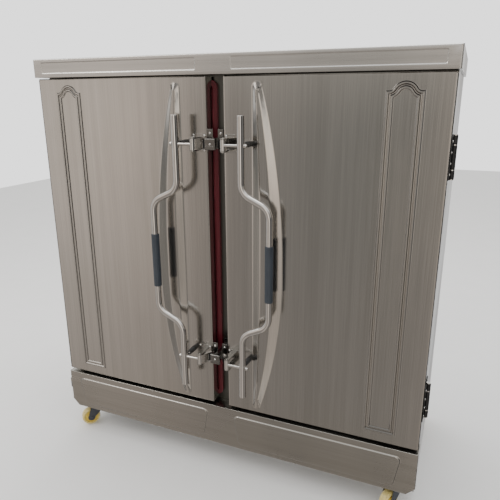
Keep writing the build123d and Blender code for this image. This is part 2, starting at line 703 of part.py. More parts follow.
def handle_sleeves(side):
    """Capped sleeves over both ends of the tube."""
    y = FRONT - HANDLE_REACH
    sleeves = []
    for low, high, rod_z, cap in (
        (TUBE_TOP - SLEEVE_LENGTH, TUBE_TOP, LATCH_HIGH, 1),
        (TUBE_BOTTOM, TUBE_BOTTOM + SLEEVE_LENGTH + 20, LATCH_LOW, -1),
    ):
        outer = (low, high + 2) if cap > 0 else (low - 2, high)
        sleeve = upright(TUBE_NEAR_X, y, outer, SLEEVE_R) - upright(TUBE_NEAR_X, y, (low, high), TUBE_R)
        rim = sleeve.faces().sort_by(Axis.Z)[-1 if cap > 0 else 0]
        sleeve = fillet(rim.edges(), 1.2)
        sleeve -= along_x((TUBE_NEAR_X - 20, TUBE_NEAR_X + 20), y, rod_z, ROD_R)
        sleeves.append(side(sleeve))
    return sleeves


def handle_grip(side):
    """The rubber grip on the outer reach of the tube."""
    span = (GRIP_MID - GRIP_LENGTH / 2, GRIP_MID + GRIP_LENGTH / 2)
    y = FRONT - HANDLE_REACH
    grip = upright(TUBE_FAR_X, y, span, GRIP_R)
    grip = fillet(grip.edges().filter_by(GeomType.CIRCLE), 2.5)
    return side(grip - upright(TUBE_FAR_X, y, span, TUBE_R))


def latch_arms(side):
    """Forked levers, each with its roller pin and the rod that joins it to the tube."""
    px, py = PIVOT[0], FRONT + PIVOT[1]
    rx, ry = ROLLER[0], FRONT + ROLLER[1]
    rod_y = FRONT - HANDLE_REACH
    arms = []
    for z in (LATCH_LOW, LATCH_HIGH):
        span = (z - FORK_HALF, z + FORK_HALF)
        flank = make_hull([
            (Pos(px, py) * Circle(10)).edges(),
            (Pos(rx, ry) * Circle(5.2)).edges(),
        ])
        lever = extrude(Plane.XY.offset(span[0]) * flank, amount=2 * FORK_HALF)
        slot = (z - ROLLER_HALF - 0.5, z + ROLLER_HALF + 0.5)
        lever -= upright(rx, ry, slot, ROLLER_R + 7)
        lever += along_x((px + 4, TUBE_NEAR_X + SLEEVE_R + 1), rod_y, z, ROD_R)
        lever += upright(rx, ry, span, 2.5)
        nut = Pos(TUBE_NEAR_X + SLEEVE_R, rod_y, z) * Rot(0, 90, 0) * nut_profile()
        lever += nut
        lever -= upright(px, py, (span[0] - 5, span[1] + 5), 4 + RUNNING)
        arms.append(side(lever))
    return arms


def make_hull(edge_lists):
    """The convex outline round a set of edges."""
    edges = [edge for group in edge_lists for edge in group]
    return make_face(Wire.make_convex_hull(edges))


def nut_profile():
    """A dome nut, its flats simplified to a cylinder under the dome."""
    return Cylinder(7, 4, align=(Align.CENTER, Align.CENTER, Align.MIN)) + Pos(0, 0, 4) * (
        Sphere(6) & Pos(0, 0, 5) * Box(20, 20, 10)
    )


def latch_rollers(side):
    """Nylon rollers that pass behind the keeper's lip."""
    rx, ry = ROLLER[0], FRONT + ROLLER[1]
    rollers = []
    for z in (LATCH_LOW, LATCH_HIGH):
        roller = upright(rx, ry, (z - ROLLER_HALF, z + ROLLER_HALF), ROLLER_R)
        roller = chamfer(roller.edges().filter_by(GeomType.CIRCLE), 1)
        rollers.append(side(roller - upright(rx, ry, (z - 20, z + 20), 2.5 + RUNNING)))
    return rollers


def keeper_brackets():
    """Keepers on the mullion: a foot, a web, two ears and a grooved lip."""
    back = FRONT - LIP_BACK
    face = back - LIP_THICK
    keepers = []
    for z in (LATCH_LOW, LATCH_HIGH):
        lip = block((-LIP_HALF, LIP_HALF), (face, back), (z - 17.5, z + 17.5))
        lip = chamfer(lip.faces().sort_by(Axis.Y)[0].edges(), 1.5)
        lip -= block((-LIP_HALF - 1, LIP_HALF + 1), (face - 1, face + 2.5), (z - 5.5, z + 5.5))
        web = block((-6, 6), (back, FRAME_Y - 2), (z - 17.5, z + 17.5))
        ears = block((-28, 28), (FRONT - 2, FRONT), (z - 17.5, z + 44))
        ears -= block((-9, 9), (FRONT - 3, FRONT + 1), (z + 17.5, z + 45))
        foot = block((-11, 11), (FRAME_Y - 2, FRAME_Y), (z - 40, z + 40))
        keeper = lip + web + ears + foot
        for x, y, sz in keeper_screw_places(z):
            keeper -= along_y(x, (y, y + 2), sz, 1.9)
        keepers.append(keeper)
    return keepers


def keeper_screw_places(z):
    """The screws of one keeper: one in the lip's groove and one in each ear."""
    groove = FRONT - LIP_BACK - LIP_THICK + 2.5
    return [(0, groove, z), (-19, FRONT - 2, z + 31), (19, FRONT - 2, z + 31)]


def keeper_screws():
    """The keepers' screws."""
    screws = []
    for z in (LATCH_LOW, LATCH_HIGH):
        screws += [pan_head(x, y, sz, 2) for x, y, sz in keeper_screw_places(z)]
    return screws


# Casters


def caster_places():
    """The four swivel axes in plan."""
    front, rear = FRONT + CASTER_INSET, BACK - CASTER_INSET
    return [(-CASTER_X, front), (CASTER_X, front), (-CASTER_X, rear), (CASTER_X, rear)]


def bolt_places(x, y):
    """The four bolts of the caster whose axis is at x, y."""
    return [(x + dx, y + dy) for dx in (-37, 37) for dy in (-27, 27)]


def caster_plates():
    """Top plates with their pressed raceways."""
    plates = []
    for x, y in caster_places():
        outline = Pos(x, y) * RectangleRounded(92, 76, 8)
        plate = extrude(Plane.XY.offset(BASE - 3) * outline, amount=3)
        race = Pos(x, y, BASE - 9) * Cone(24, 29, 6, align=(Align.CENTER, Align.CENTER, Align.MIN))
        plate += race
        plate -= upright(x, y, (BASE - 20, BASE + 5), KINGPIN_R + RUNNING)
        for bx, by in bolt_places(x, y):
            plate -= upright(bx, by, (BASE - 4, BASE + 1), 4)
        plates.append(plate)
    return plates


def caster_bolts():
    """The bolts that hold the caster plates, each with its nut."""
    bolts = []
    for x, y in caster_places():
        for bx, by in bolt_places(x, y):
            head = Pos(bx, by, BASE - 8) * extrude(RegularPolygon(7, 6), amount=5)
            nut = Pos(bx, by, BASE + 3) * extrude(RegularPolygon(7, 6), amount=5)
            bolts.append(head + upright(bx, by, (BASE - 3, BASE + 3), 4) + nut)
    return bolts


def caster_fork(x, y, yaw):
    """A swivel fork with its kingpin and axle, trailing along its own -X before it is turned."""
    high = BASE - 9.4
    crown = Pos(0, 0, high - 12) * Cone(31, 24, 12, align=(Align.CENTER, Align.CENTER, Align.MIN))
    pin = upright(0, 0, (high - 12, BASE), KINGPIN_R)
    half = WHEEL_WIDTH / 2 + 2
    arm = extrude(Plane.XZ * fork_profile(high - 12), amount=3)
    legs = Pos(0, -half, 0) * arm + Pos(0, half + 3, 0) * arm
    bridge = block((-27, 27), (-half - 3, half + 3), (high - 15, high - 11))
    axle = Pos(-TRAIL, 0, WHEEL_R) * Rot(90, 0, 0) * Cylinder(5, 2 * half + 14)
    fork = crown + pin + legs + bridge + axle
    return [Pos(x, y, 0) * Rot(0, 0, yaw) * fork]


def fork_profile(high):
    """One fork arm seen from the side, from the crown down to the axle's boss."""
    points = [(-27, high), (27, high), (27, high - 6), (-TRAIL + 15, WHEEL_R), (-TRAIL - 15, WHEEL_R)]
    web = make_face(Polyline(*points, close=True))
    return web + Pos(-TRAIL, WHEEL_R) * Circle(15)


def caster_wheel(x, y, yaw):
    """A wheel turned in one profile: tread, web and hub."""
    half = WHEEL_WIDTH / 2
    bore = 5 + RUNNING
    points = [
        (bore, -half),
        (13, -half),
        (15, -half + 8),
        (26, -half + 8),
        (28, -half + 1.5),
        (WHEEL_R - 4, -half + 1.5),
        (WHEEL_R, -half + 7),
        (WHEEL_R, half - 7),
        (WHEEL_R - 4, half - 1.5),
        (28, half - 1.5),
        (26, half - 8),
        (15, half - 8),
        (13, half),
        (bore, half),
    ]
    profile = make_face(Plane.XZ * Polyline(*points, close=True))
    wheel = Rot(90, 0, 0) * revolve(profile, Axis.Z)
    return [Pos(x, y, 0) * Rot(0, 0, yaw) * Pos(-TRAIL, 0, WHEEL_R) * wheel]


CASTER_NAMES = ("fl", "fr", "rl", "rr")
CASTER_YAWS = (46.0, 62.0, 20.0, 150.0)


def write(node, solids):
    """Writes one node's solids to its STEP file."""
    made = []
    for solid in solids if isinstance(solids, list) else [solids]:
        made += [piece.clean() for piece in solid.solids()]
    shape = made[0] if len(made) == 1 else Compound(children=made)
    shape.label = node
    export_step(shape, f"parts/{node}.step")


def main():
    """Builds every node and writes it."""
    os.makedirs("parts", exist_ok=True)
    nodes = {
        "side_panels": side_panels(),
        "rear_panel": rear_panel(),
        "front_frame": front_frame(),
        "top_cap": top_cap(),
        "skirt_panel": skirt_panel(),
        "base_frame": base_frame(),
        "insulation": insulation(),
        "chamber_liners": chamber_liners(),
        "chamber_floors": chamber_floors(),
        "steam_plates": steam_plates(),
        "rack_uprights": rack_uprights(),
        "tray_runners": tray_runners(),
        "water_tank": water_tank(),
        "heaters": heaters(),
        "float_box": float_box(),
        "cable_gland": cable_gland(),
        "steam_vents": steam_vents(),
        "drain_valve": drain_valve(),
        "drain_lever": drain_lever(),
        "door_seals": door_seals(),
        "hinge_pins": hinge_pins(),
        "hinge_frame_leaves": both_sides(hinge_leaf(as_drawn, False)),
        "keeper_brackets": keeper_brackets(),
        "keeper_screws": keeper_screws(),
        "caster_plates": caster_plates(),
        "caster_bolts": caster_bolts(),
    }
    for name, side in (("left", other_side), ("right", as_drawn)):
        nodes[f"{name}_door_skin"] = door_skin(side)
        nodes[f"{name}_door_pan"] = door_pan(side)
        nodes[f"{name}_door_core"] = door_core(side)
        nodes[f"{name}_hinge_leaves"] = hinge_leaf(side, True)
        nodes[f"{name}_latch_bases"] = latch_bases(side)
        nodes[f"{name}_latch_screws"] = latch_screws(side)
        nodes[f"{name}_bumpers"] = bumpers(side)
        nodes[f"{name}_handle_tube"] = handle_tube(side)
        nodes[f"{name}_handle_sleeves"] = handle_sleeves(side)
        nodes[f"{name}_handle_grip"] = handle_grip(side)
        nodes[f"{name}_latch_arms"] = latch_arms(side)
        nodes[f"{name}_latch_rollers"] = latch_rollers(side)
    for name, place, yaw in zip(CASTER_NAMES, caster_places(), CASTER_YAWS):
        nodes[f"caster_fork_{name}"] = caster_fork(*place, yaw)
        nodes[f"caster_wheel_{name}"] = caster_wheel(*place, yaw)
    for node, solids in nodes.items():
        write(node, solids)


main()
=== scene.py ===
import logging
import math
from dataclasses import dataclass, field
from enum import Enum
from typing import Union

import bmesh
import bpy
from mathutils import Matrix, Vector


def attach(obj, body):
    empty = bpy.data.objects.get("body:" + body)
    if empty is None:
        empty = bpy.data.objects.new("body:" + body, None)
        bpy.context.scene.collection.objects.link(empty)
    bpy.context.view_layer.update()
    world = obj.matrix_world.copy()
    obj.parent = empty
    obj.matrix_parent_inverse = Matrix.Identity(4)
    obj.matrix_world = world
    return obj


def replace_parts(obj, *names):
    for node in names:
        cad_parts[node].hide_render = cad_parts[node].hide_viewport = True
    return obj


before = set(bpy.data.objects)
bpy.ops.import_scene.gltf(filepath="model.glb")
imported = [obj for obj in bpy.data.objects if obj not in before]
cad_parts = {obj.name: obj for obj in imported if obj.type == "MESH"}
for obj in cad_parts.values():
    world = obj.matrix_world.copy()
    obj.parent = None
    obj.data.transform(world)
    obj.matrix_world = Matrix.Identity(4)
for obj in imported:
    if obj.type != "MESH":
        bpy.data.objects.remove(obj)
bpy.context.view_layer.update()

LOG = logging.getLogger("steamer")

# Places in metres that the CAD shares with this script.
BACK = 0.34425
FRONT = -0.29575
HINGE_LEVELS = (0.440, 1.2051)
WHEEL_RADIUS = 0.0375
WHEELS = {
    "fl": (-0.65145, -0.26389, 46.0),
    "fr": (0.61885, -0.26847, 62.0),
    "rl": (-0.65831, 0.28267, 20.0),
    "rr": (0.65625, 0.27825, 150.0),
}

# How the rounded copies read a CAD mesh: what counts as one point and as one plane, a turn that is only a smooth
# surface's facets, the steepest turn of a pressed slope, a flange's least depth, and two runs that never cross.
ONE_POINT = 3e-6
ONE_PLANE = math.radians(0.4)
SMOOTH_TURN = math.radians(4.0)
SLOPE_TURN = math.radians(40.0)
LEAST_FLANGE = 0.012
PARALLEL = 1e-16

Colour = tuple[float, float, float]
Place = tuple[float, float, float]


class Grain(Enum):
    """The way that the brush marks run on a sheet."""

    UP = (1.0, 1.0, 0.006)
    ACROSS = (0.006, 1.0, 1.0)
    DEEP = (1.0, 0.006, 1.0)


class Side(Enum):
    """A half of the cabinet, with the sign of its X."""

    LEFT = ("left", -1.0)
    RIGHT = ("right", 1.0)

    @property
    def word(self) -> str:
        """The word that starts the names of this side's nodes."""
        return self.value[0]

    @property
    def sign(self) -> float:
        """Minus one on the left, plus one on the right."""
        return self.value[1]


class Wire:
    """A socket inside a material, whose arithmetic adds Math nodes."""

    def __init__(self, graph: "Graph", socket: bpy.types.NodeSocket) -> None:
        """Keeps the graph and one of its output sockets."""
        self.graph = graph
        self.socket = socket

    def _math(self, operation: str, first: "Value", second: "Value" = 0.0) -> "Wire":
        """One Math node on two values."""
        return self.graph.node("ShaderNodeMath", {"operation": operation}, {0: first, 1: second})

    def __add__(self, other: "Value") -> "Wire":
        """This value plus another."""
        return self._math("ADD", self, other)

    def __radd__(self, other: "Value") -> "Wire":
        """Another value plus this one."""
        return self._math("ADD", other, self)

    def __sub__(self, other: "Value") -> "Wire":
        """This value less another."""
        return self._math("SUBTRACT", self, other)

    def __rsub__(self, other: "Value") -> "Wire":
        """Another value less this one."""
        return self._math("SUBTRACT", other, self)

    def __mul__(self, other: "Value") -> "Wire":
        """This value times another."""
        return self._math("MULTIPLY", self, other)

    def __rmul__(self, other: "Value") -> "Wire":
        """Another value times this one."""
        return self._math("MULTIPLY", other, self)

    def __pow__(self, power: "Value") -> "Wire":
        """This value to a power."""
        return self._math("POWER", self, power)


Value = Union[Wire, float, Colour, bpy.types.NodeSocket]


class Graph:
    """The node tree of one material."""

    def __init__(self, name: str) -> None:
        """Makes the material and finds its main shader.

        Args:
            name: The material's name.
        """
        self.material = bpy.data.materials.new(name)
        self.material.use_nodes = True
        self.tree = self.material.node_tree
        self.shader = next(n for n in self.tree.nodes if n.type == "BSDF_PRINCIPLED")

    @classmethod
    def of_tree(cls, tree: bpy.types.NodeTree) -> "Graph":
        """A graph on a node tree that exists, such as the world's.

        Args:
            tree: The node tree.

        Returns:
            The graph, which has no material of its own.
        """
        graph = cls.__new__(cls)
        graph.tree = tree
        return graph

    def node(
        self,
        kind: str,
        settings: dict[str, object] | None = None,
        inputs: dict[str | int, Value] | None = None,
        output: str | int = 0,
    ) -> Wire:
        """Adds a node, sets it up and links it.

        Args:
            kind: The node's type.
            settings: Its settings, set first. "stops" are a ramp's places and colours.
            inputs: Values or wires for its sockets, by name or number.
            output: The output that is wanted.

        Returns:
            The wire from that output.
        """
        made = self.tree.nodes.new(kind)
        for name, value in (settings or {}).items():
            if name == "stops":
                self._set_stops(made.color_ramp, value)
            else:
                setattr(made, name, value)
        for name, value in (inputs or {}).items():
            self.feed(made.inputs[name], value)
        return Wire(self, made.outputs[output])

    @staticmethod
    def _set_stops(ramp: bpy.types.ColorRamp, stops: list[tuple[float, Colour]]) -> None:
        """Sets a ramp's stops.

        Args:
            ramp: The ramp.
            stops: A place from 0 to 1 and a colour for each stop.
        """
        while len(ramp.elements) < len(stops):
            ramp.elements.new(0.5)
        for element, (place, colour) in zip(ramp.elements, stops):
            element.position = place
            element.color = (*colour, 1.0)

    def feed(self, socket: bpy.types.NodeSocket, value: Value) -> None:
        """Links a wire to a socket, or sets the socket's value.

        Args:
            socket: The input socket.
            value: A wire, a number, a colour or a vector.
        """
        if isinstance(value, Wire):
            self.tree.links.new(value.socket, socket)
        elif socket.type == "RGBA" and isinstance(value, tuple) and len(value) == 3:
            socket.default_value = (*value, 1.0)
        else:
            socket.default_value = value

    def place(self) -> Wire:
        """The point on the object, in the row frame, in metres."""
        return self.node("ShaderNodeTexCoord", output="Object")

    def axis(self, vector: Wire, letter: str) -> Wire:
        """One component of a vector."""
        return self.node("ShaderNodeSeparateXYZ", inputs={0: vector}, output=letter)

    def stretched(self, vector: Wire, scale: Place, centre: Place = (0.0, 0.0, 0.0)) -> Wire:
        """A vector whose centre is moved to zero first, then scaled along each axis."""
        shift = tuple(-c * s for c, s in zip(centre, scale))
        return self.node("ShaderNodeMapping", inputs={"Vector": vector, "Location": shift, "Scale": scale})

    def noise(self, vector: Wire, scale: float, detail: float = 2.0, rough: float = 0.5) -> Wire:
        """Soft noise from 0 to 1, finer with a larger scale, with finer layers of a strength from 0 to 1."""
        inputs = {"Vector": vector, "Scale": scale, "Detail": detail, "Roughness": rough}
        return self.node("ShaderNodeTexNoise", inputs=inputs)

    def step(self, value: Value, start: float, end: float, low: float = 0.0, high: float = 1.0) -> Wire:
        """A soft step between two values.

        Args:
            value: What is stepped.
            start: Where the step starts.
            end: Where it ends.
            low: The result before the start.
            high: The result after the end.

        Returns:
            The stepped value.
        """
        settings = {"interpolation_type": "SMOOTHSTEP", "clamp": True}
        inputs = {0: value, 1: start, 2: end, 3: low, 4: high}
        return self.node("ShaderNodeMapRange", settings, inputs)

    def mixed(self, factor: Value, first: Value, second: Value) -> Wire:
        """A colour between two colours, the first at 0 and the second at 1."""
        settings = {"data_type": "RGBA", "clamp_factor": True}
        return self.node("ShaderNodeMix", settings, {0: factor, 6: first, 7: second}, output=2)

    def bumped(self, height: Value, strength: float, depth: float) -> Wire:
        """A normal from a height of 0 to 1, with the share that shows and the real depth in metres."""
        return self.node("ShaderNodeBump", inputs={"Strength": strength, "Distance": depth, "Height": height})

    def finish(self, **sockets: Value) -> bpy.types.Material:
        """Feeds the main shader.

        Args:
            sockets: Values or wires by socket name, with underscores for spaces.

        Returns:
            The finished material.
        """
        for name, value in sockets.items():
            self.feed(self.shader.inputs[name.replace("_", " ")], value)
        return self.material


@dataclass(frozen=True)
class Finish:
    """A finish with a name and a main colour, which makes its material once."""

    name: str
    slot: str
    colour: Colour

    def material(self) -> bpy.types.Material:
        """The finish's material, made at its first use."""
        return bpy.data.materials.get(self.name) or self.build(Graph(self.name))

    def build(self, graph: Graph) -> bpy.types.Material:
        """Builds the nodes in a new material's graph and returns the material."""
        raise NotImplementedError


@dataclass(frozen=True)
class BrushedSteel(Finish):
    """Stainless sheet with brush marks, hand smears, a duller foot and painted shade on the upward slopes of its
    pressings.
    """

    grain: Grain = Grain.UP
    roughness: float = 0.24
    marks: float = 0.35
    smears: float = 0.10
    # The share and the colour of painted shade on the upward slopes of pressings, where shade falls in their creases.
    ledges: float = 0.0
    grime: Colour = (0.06, 0.055, 0.05)
    foot_levels: tuple[float, float] = (0.42, 0.12)

    def build(self, graph: Graph) -> bpy.types.Material:
        """Brush marks along the grain, wide streaks, smears, a stained foot and painted shade on upward slopes.

        Args:
            graph: The new material's graph.

        Returns:
            The material.
        """
        place = graph.place()
        along = graph.stretched(place, self.grain.value)
        fine = graph.noise(along, 620.0, 3.0, 0.65)
        wide = graph.noise(along, 42.0, 2.0, 0.5)
        smear = graph.noise(graph.stretched(place, (1.0, 1.0, 0.55)), 3.1, 4.0, 0.6)
        worn = graph.step(smear, 0.42, 0.72)
        foot = graph.step(graph.axis(place, "Z"), *self.foot_levels)
        dark = tuple(c * 0.86 for c in self.colour)
        light = tuple(min(1.0, c * 1.07) for c in self.colour)
        streaks = fine * 0.55 + wide * 0.45
        colour = graph.mixed(graph.step(streaks, 0.3, 0.7), dark, light)
        stain = tuple(c * t for c, t in zip(self.colour, (0.80, 0.77, 0.70)))
        colour = graph.mixed(foot * 0.35 + worn * 0.12, colour, stain)
        # Painted shade: slopes that face upward are darkened as if shade fell in the pressings' creases.
        if self.ledges:
            rise = graph.axis(graph.node("ShaderNodeNewGeometry", output="Normal"), "Z")
            ledge = graph.step(rise, 0.10, 0.32) * graph.step(rise, 0.93, 0.80)
            colour = graph.mixed(ledge * self.ledges, colour, self.grime)
        roughness = self.roughness + (fine - 0.5) * 0.10 + worn * self.smears + foot * 0.04
        normal = graph.bumped(fine * 0.8 + wide * 0.2, self.marks, 0.00008)
        return graph.finish(Base_Color=colour, Roughness=roughness, Metallic=1.0, Normal=normal)


@dataclass(frozen=True)
class PolishedSteel(Finish):
    """Bright drawn or cast stainless with hairline scratches and a few finger marks."""

    roughness: float = 0.13
    scratches: float = 0.06
    waves: float = 0.12

    def build(self, graph: Graph) -> bpy.types.Material:
        """Fine scratches one way, finger marks and a little waviness.

        Args:
            graph: The new material's graph.

        Returns:
            The material.
        """
        place = graph.place()
        hair = graph.noise(graph.stretched(place, (1.0, 1.0, 0.03)), 900.0, 2.0, 0.6)
        mark = graph.step(graph.noise(place, 24.0, 3.0, 0.6), 0.5, 0.75)
        wave = graph.noise(place, 60.0, 1.0)
        dull = tuple(c * 0.88 for c in self.colour)
        colour = graph.mixed(hair * 0.5 + mark * 0.5, self.colour, dull)
        roughness = self.roughness + hair * self.scratches + mark * 0.06
        normal = graph.bumped(wave * 0.6 + hair * 0.4, self.waves, 0.0002)
        return graph.finish(Base_Color=colour, Roughness=roughness, Metallic=1.0, Normal=normal)


@dataclass(frozen=True)
class ZincSteel(Finish):
    """Zinc-plated steel with faint crystals and dusty places."""

    roughness: float = 0.42

    def build(self, graph: Graph) -> bpy.types.Material:
        """Crystals with a tone each, under a thin bloom.

        Args:
            graph: The new material's graph.

        Returns:
            The material.
        """
        place = graph.place()
        crystal = graph.node("ShaderNodeTexVoronoi", inputs={"Vector": place, "Scale": 130.0}, output="Color")
        tone = graph.axis(crystal, "X")
        bloom = graph.step(graph.noise(place, 9.0, 4.0, 0.6), 0.45, 0.75)
        dark = tuple(c * 0.78 for c in self.colour)
        colour = graph.mixed(tone, dark, self.colour)
        colour = graph.mixed(bloom * 0.4, colour, (0.55, 0.54, 0.50))
        metallic = 1.0 - bloom * 0.45
        roughness = self.roughness + tone * 0.14 + bloom * 0.2
        normal = graph.bumped(tone, 0.08, 0.0003)
        return graph.finish(Base_Color=colour, Roughness=roughness, Metallic=metallic, Normal=normal)


@dataclass(frozen=True)
class PaintedSteel(Finish):
    """Sprayed paint with an even orange peel and dust in its lower parts."""

    roughness: float = 0.38
    dust: float = 0.25

    def build(self, graph: Graph) -> bpy.types.Material:
        """Paint with a fine peel and dust in patches.

        Args:
            graph: The new material's graph.

        Returns:
            The material.
        """
        place = graph.place()
        peel = graph.noise(place, 420.0, 2.0, 0.5)
        dusty = graph.step(graph.noise(place, 30.0, 4.0, 0.65), 0.5, 0.78)
        dust_colour = tuple(0.6 * c + 0.14 for c in self.colour)
        colour = graph.mixed(dusty * self.dust, self.colour, dust_colour)
        roughness = self.roughness + dusty * 0.25 + peel * 0.06
        normal = graph.bumped(peel, 0.15, 0.0002)
        return graph.finish(Base_Color=colour, Roughness=roughness, Metallic=0.15, Normal=normal, Coat_Weight=0.1)


@dataclass(frozen=True)
class Rubber(Finish):
    """Moulded rubber, silicone or plastic with a fine skin and a pale bloom."""

    roughness: float = 0.5
    bloom: Colour = (0.4, 0.4, 0.4)
    bloom_share: float = 0.15
    skin: float = 0.2
    skin_scale: float = 700.0

    def build(self, graph: Graph) -> bpy.types.Material:
        """A fine skin with a blotchy bloom.

        Args:
            graph: The new material's graph.

        Returns:
            The material.
        """
        place = graph.place()
        skin = graph.noise(place, self.skin_scale, 2.0, 0.6)
        patch = graph.step(graph.noise(graph.stretched(place, (1.0, 1.0, 0.35)), 16.0, 4.0, 0.65), 0.42, 0.78)
        colour = graph.mixed(patch * self.bloom_share + skin * 0.05, self.colour, self.bloom)
        roughness = self.roughness + patch * 0.14 + skin * 0.08
        normal = graph.bumped(skin, self.skin, 0.0002)
        return graph.finish(Base_Color=colour, Roughness=roughness, Normal=normal)


@dataclass(frozen=True)
class Gasket(Finish):
    """Red silicone lip, dark red all over and paler where doors have rubbed it."""

    rubbed: Colour = (0.42, 0.10, 0.12)

    def build(self, graph: Graph) -> bpy.types.Material:
        """Long pale rubs, dark crumbs and a soft sheen.

        Args:
            graph: The new material's graph.

        Returns:
            The material.
        """
        place = graph.place()
        rub = graph.step(graph.noise(graph.stretched(place, (1.0, 1.0, 0.05)), 120.0, 3.0, 0.6), 0.5, 0.8)
        crumb = graph.step(graph.noise(place, 95.0, 3.0, 0.7), 0.66, 0.74)
        colour = graph.mixed(rub * 0.5, self.colour, self.rubbed)
        colour = graph.mixed(crumb * 0.7, colour, (0.05, 0.012, 0.012))
        roughness = 0.36 + rub * 0.2 + crumb * 0.2
        normal = graph.bumped(rub * 0.5 + crumb * 0.5, 0.3, 0.0003)
        return graph.finish(Base_Color=colour, Roughness=roughness, Normal=normal)


@dataclass(frozen=True)
class CastWheel(Finish):
    """A cast wheel: a pale yellow tread that meets a brighter hub at a seam, and is scuffed where it rolls."""

    hub: Colour = (0.82, 0.62, 0.10)
    centre: Place = (0.0, 0.0, 0.0)
    yaw: float = 0.0
    seam: tuple[float, float] = (0.0262, 0.0270)
    rolling: tuple[float, float] = (0.0355, 0.0372)

    def build(self, graph: Graph) -> bpy.types.Material:
        """Two colours by the distance from the axle, with scuffs on the tread.

        Args:
            graph: The new material's graph.

        Returns:
            The material.
        """
        place = graph.place()
        turned = math.radians(self.yaw)
        axle = (-math.sin(turned), math.cos(turned), 0.0)
        offset = graph.node("ShaderNodeVectorMath", {"operation": "SUBTRACT"}, {0: place, 1: self.centre})
        along = graph.node("ShaderNodeVectorMath", {"operation": "DOT_PRODUCT"}, {0: offset, 1: axle}, "Value")
        reach = graph.node("ShaderNodeVectorMath", {"operation": "LENGTH"}, {0: offset}, "Value")
        radius = (reach * reach - along * along) ** 0.5
        tread = graph.step(radius, *self.seam)
        scuff = graph.step(graph.noise(place, 85.0, 4.0, 0.7), 0.5, 0.75)
        rolled = graph.step(radius, *self.rolling)
        colour = graph.mixed(tread, self.hub, self.colour)
        colour = graph.mixed(scuff * 0.25 + rolled * scuff * 0.45, colour, (0.20, 0.17, 0.12))
        roughness = 0.34 + scuff * 0.2 + rolled * 0.15
        normal = graph.bumped(scuff, 0.25, 0.0003)
        return graph.finish(Base_Color=colour, Roughness=roughness, Normal=normal, Coat_Weight=0.15)


@dataclass(frozen=True)
class MineralWool(Finish):
    """Pressed wool board with loose fibres."""

    def build(self, graph: Graph) -> bpy.types.Material:
        """Fibres across each other and uneven tone.

        Args:
            graph: The new material's graph.

        Returns:
            The material.
        """
        place = graph.place()
        fibre = graph.noise(graph.stretched(place, (1.0, 0.2, 0.2)), 700.0, 4.0, 0.7)
        other = graph.noise(graph.stretched(place, (0.2, 0.2, 1.0)), 500.0, 4.0, 0.7)
        lump = graph.noise(place, 14.0, 3.0)
        dark = tuple(c * 0.62 for c in self.colour)
        colour = graph.mixed(graph.step(fibre * 0.4 + other * 0.3 + lump * 0.3, 0.35, 0.65), dark, self.colour)
        normal = graph.bumped(fibre * 0.5 + other * 0.5, 0.7, 0.001)
        return graph.finish(Base_Color=colour, Roughness=0.95, Normal=normal)


# The door steel paints shade as a dark tone on the upward slopes of its pressings.
DOOR_STEEL = BrushedSteel(
    "Door steel with painted ledge shade", "brushed_panel", (0.45, 0.437, 0.415), roughness=0.17, marks=0.15, smears=0.05, ledges=0.8,
)
CAP_STEEL = BrushedSteel("Cap steel", "brushed_panel", (0.55, 0.54, 0.52), grain=Grain.ACROSS, roughness=0.28)
SKIRT_STEEL = BrushedSteel("Skirt steel", "brushed_panel", (0.40, 0.39, 0.37), grain=Grain.ACROSS, roughness=0.22)
SIDE_STEEL = BrushedSteel("Side steel", "brushed_panel", (0.50, 0.49, 0.475), grain=Grain.UP, roughness=0.30)
LINER_STEEL = BrushedSteel("Liner steel", "liner_steel", (0.55, 0.55, 0.54), grain=Grain.UP, roughness=0.36)
RACK_STEEL = BrushedSteel("Rack steel", "liner_steel", (0.58, 0.58, 0.57), grain=Grain.DEEP, roughness=0.34)
# The frame and mullion are stainless sitting in shade between and above the doors: this dark copy of brushed steel is
# painted shade.
SHADED_FRAME_STEEL = BrushedSteel("Frame steel, painted shade", "frame_steel", (0.15, 0.15, 0.138), roughness=0.32)
TUBE_STEEL = PolishedSteel("Tube steel", "polished_steel", (0.62, 0.60, 0.575), roughness=0.09, scratches=0.04)
LATCH_STEEL = PolishedSteel("Latch steel", "polished_steel", (0.40, 0.39, 0.37), roughness=0.12, waves=0.4)
LEVER_STEEL = PolishedSteel(
    "Lever steel", "polished_steel", (0.60, 0.585, 0.56), roughness=0.07, scratches=0.04, waves=0.5,
)
# The keepers are stainless in the shaded gap between the doors: this dark copy of polished steel is painted shade.
SHADED_KEEPER_STEEL = PolishedSteel("Keeper steel, painted shade", "polished_steel", (0.21, 0.205, 0.195), roughness=0.16, waves=0.4)
SCREW_STEEL = PolishedSteel("Screw steel", "polished_steel", (0.80, 0.79, 0.77), roughness=0.16)
PLATED_STEEL = ZincSteel("Plated steel", "zinc_steel", (0.62, 0.62, 0.62))
FORK_PAINT = PaintedSteel("Fork paint", "dark_fork", (0.055, 0.062, 0.075))
HINGE_PAINT = PaintedSteel("Hinge paint", "black_hinge", (0.012, 0.012, 0.013), roughness=0.42, dust=0.12)
TURNED_BRASS = PolishedSteel("Turned brass", "brass", (0.66, 0.48, 0.22), roughness=0.26, scratches=0.15)
RED_GASKET = Gasket("Red gasket", "red_silicone", (0.105, 0.008, 0.016))
STOP_RUBBER = Rubber("Stop rubber", "black_rubber", (0.022, 0.022, 0.023), bloom=(0.12, 0.12, 0.12))
GRIP_RUBBER = Rubber("Grip rubber", "grip_rubber", (0.022, 0.030, 0.042), 0.42, (0.09, 0.11, 0.13), 0.25, 0.3, 900.0)
BLACK_NYLON = Rubber("Black nylon", "black_nylon", (0.016, 0.016, 0.017), 0.34, (0.08, 0.08, 0.08), 0.2)
WOOL = MineralWool("Mineral wool", "insulation", (0.72, 0.64, 0.38))


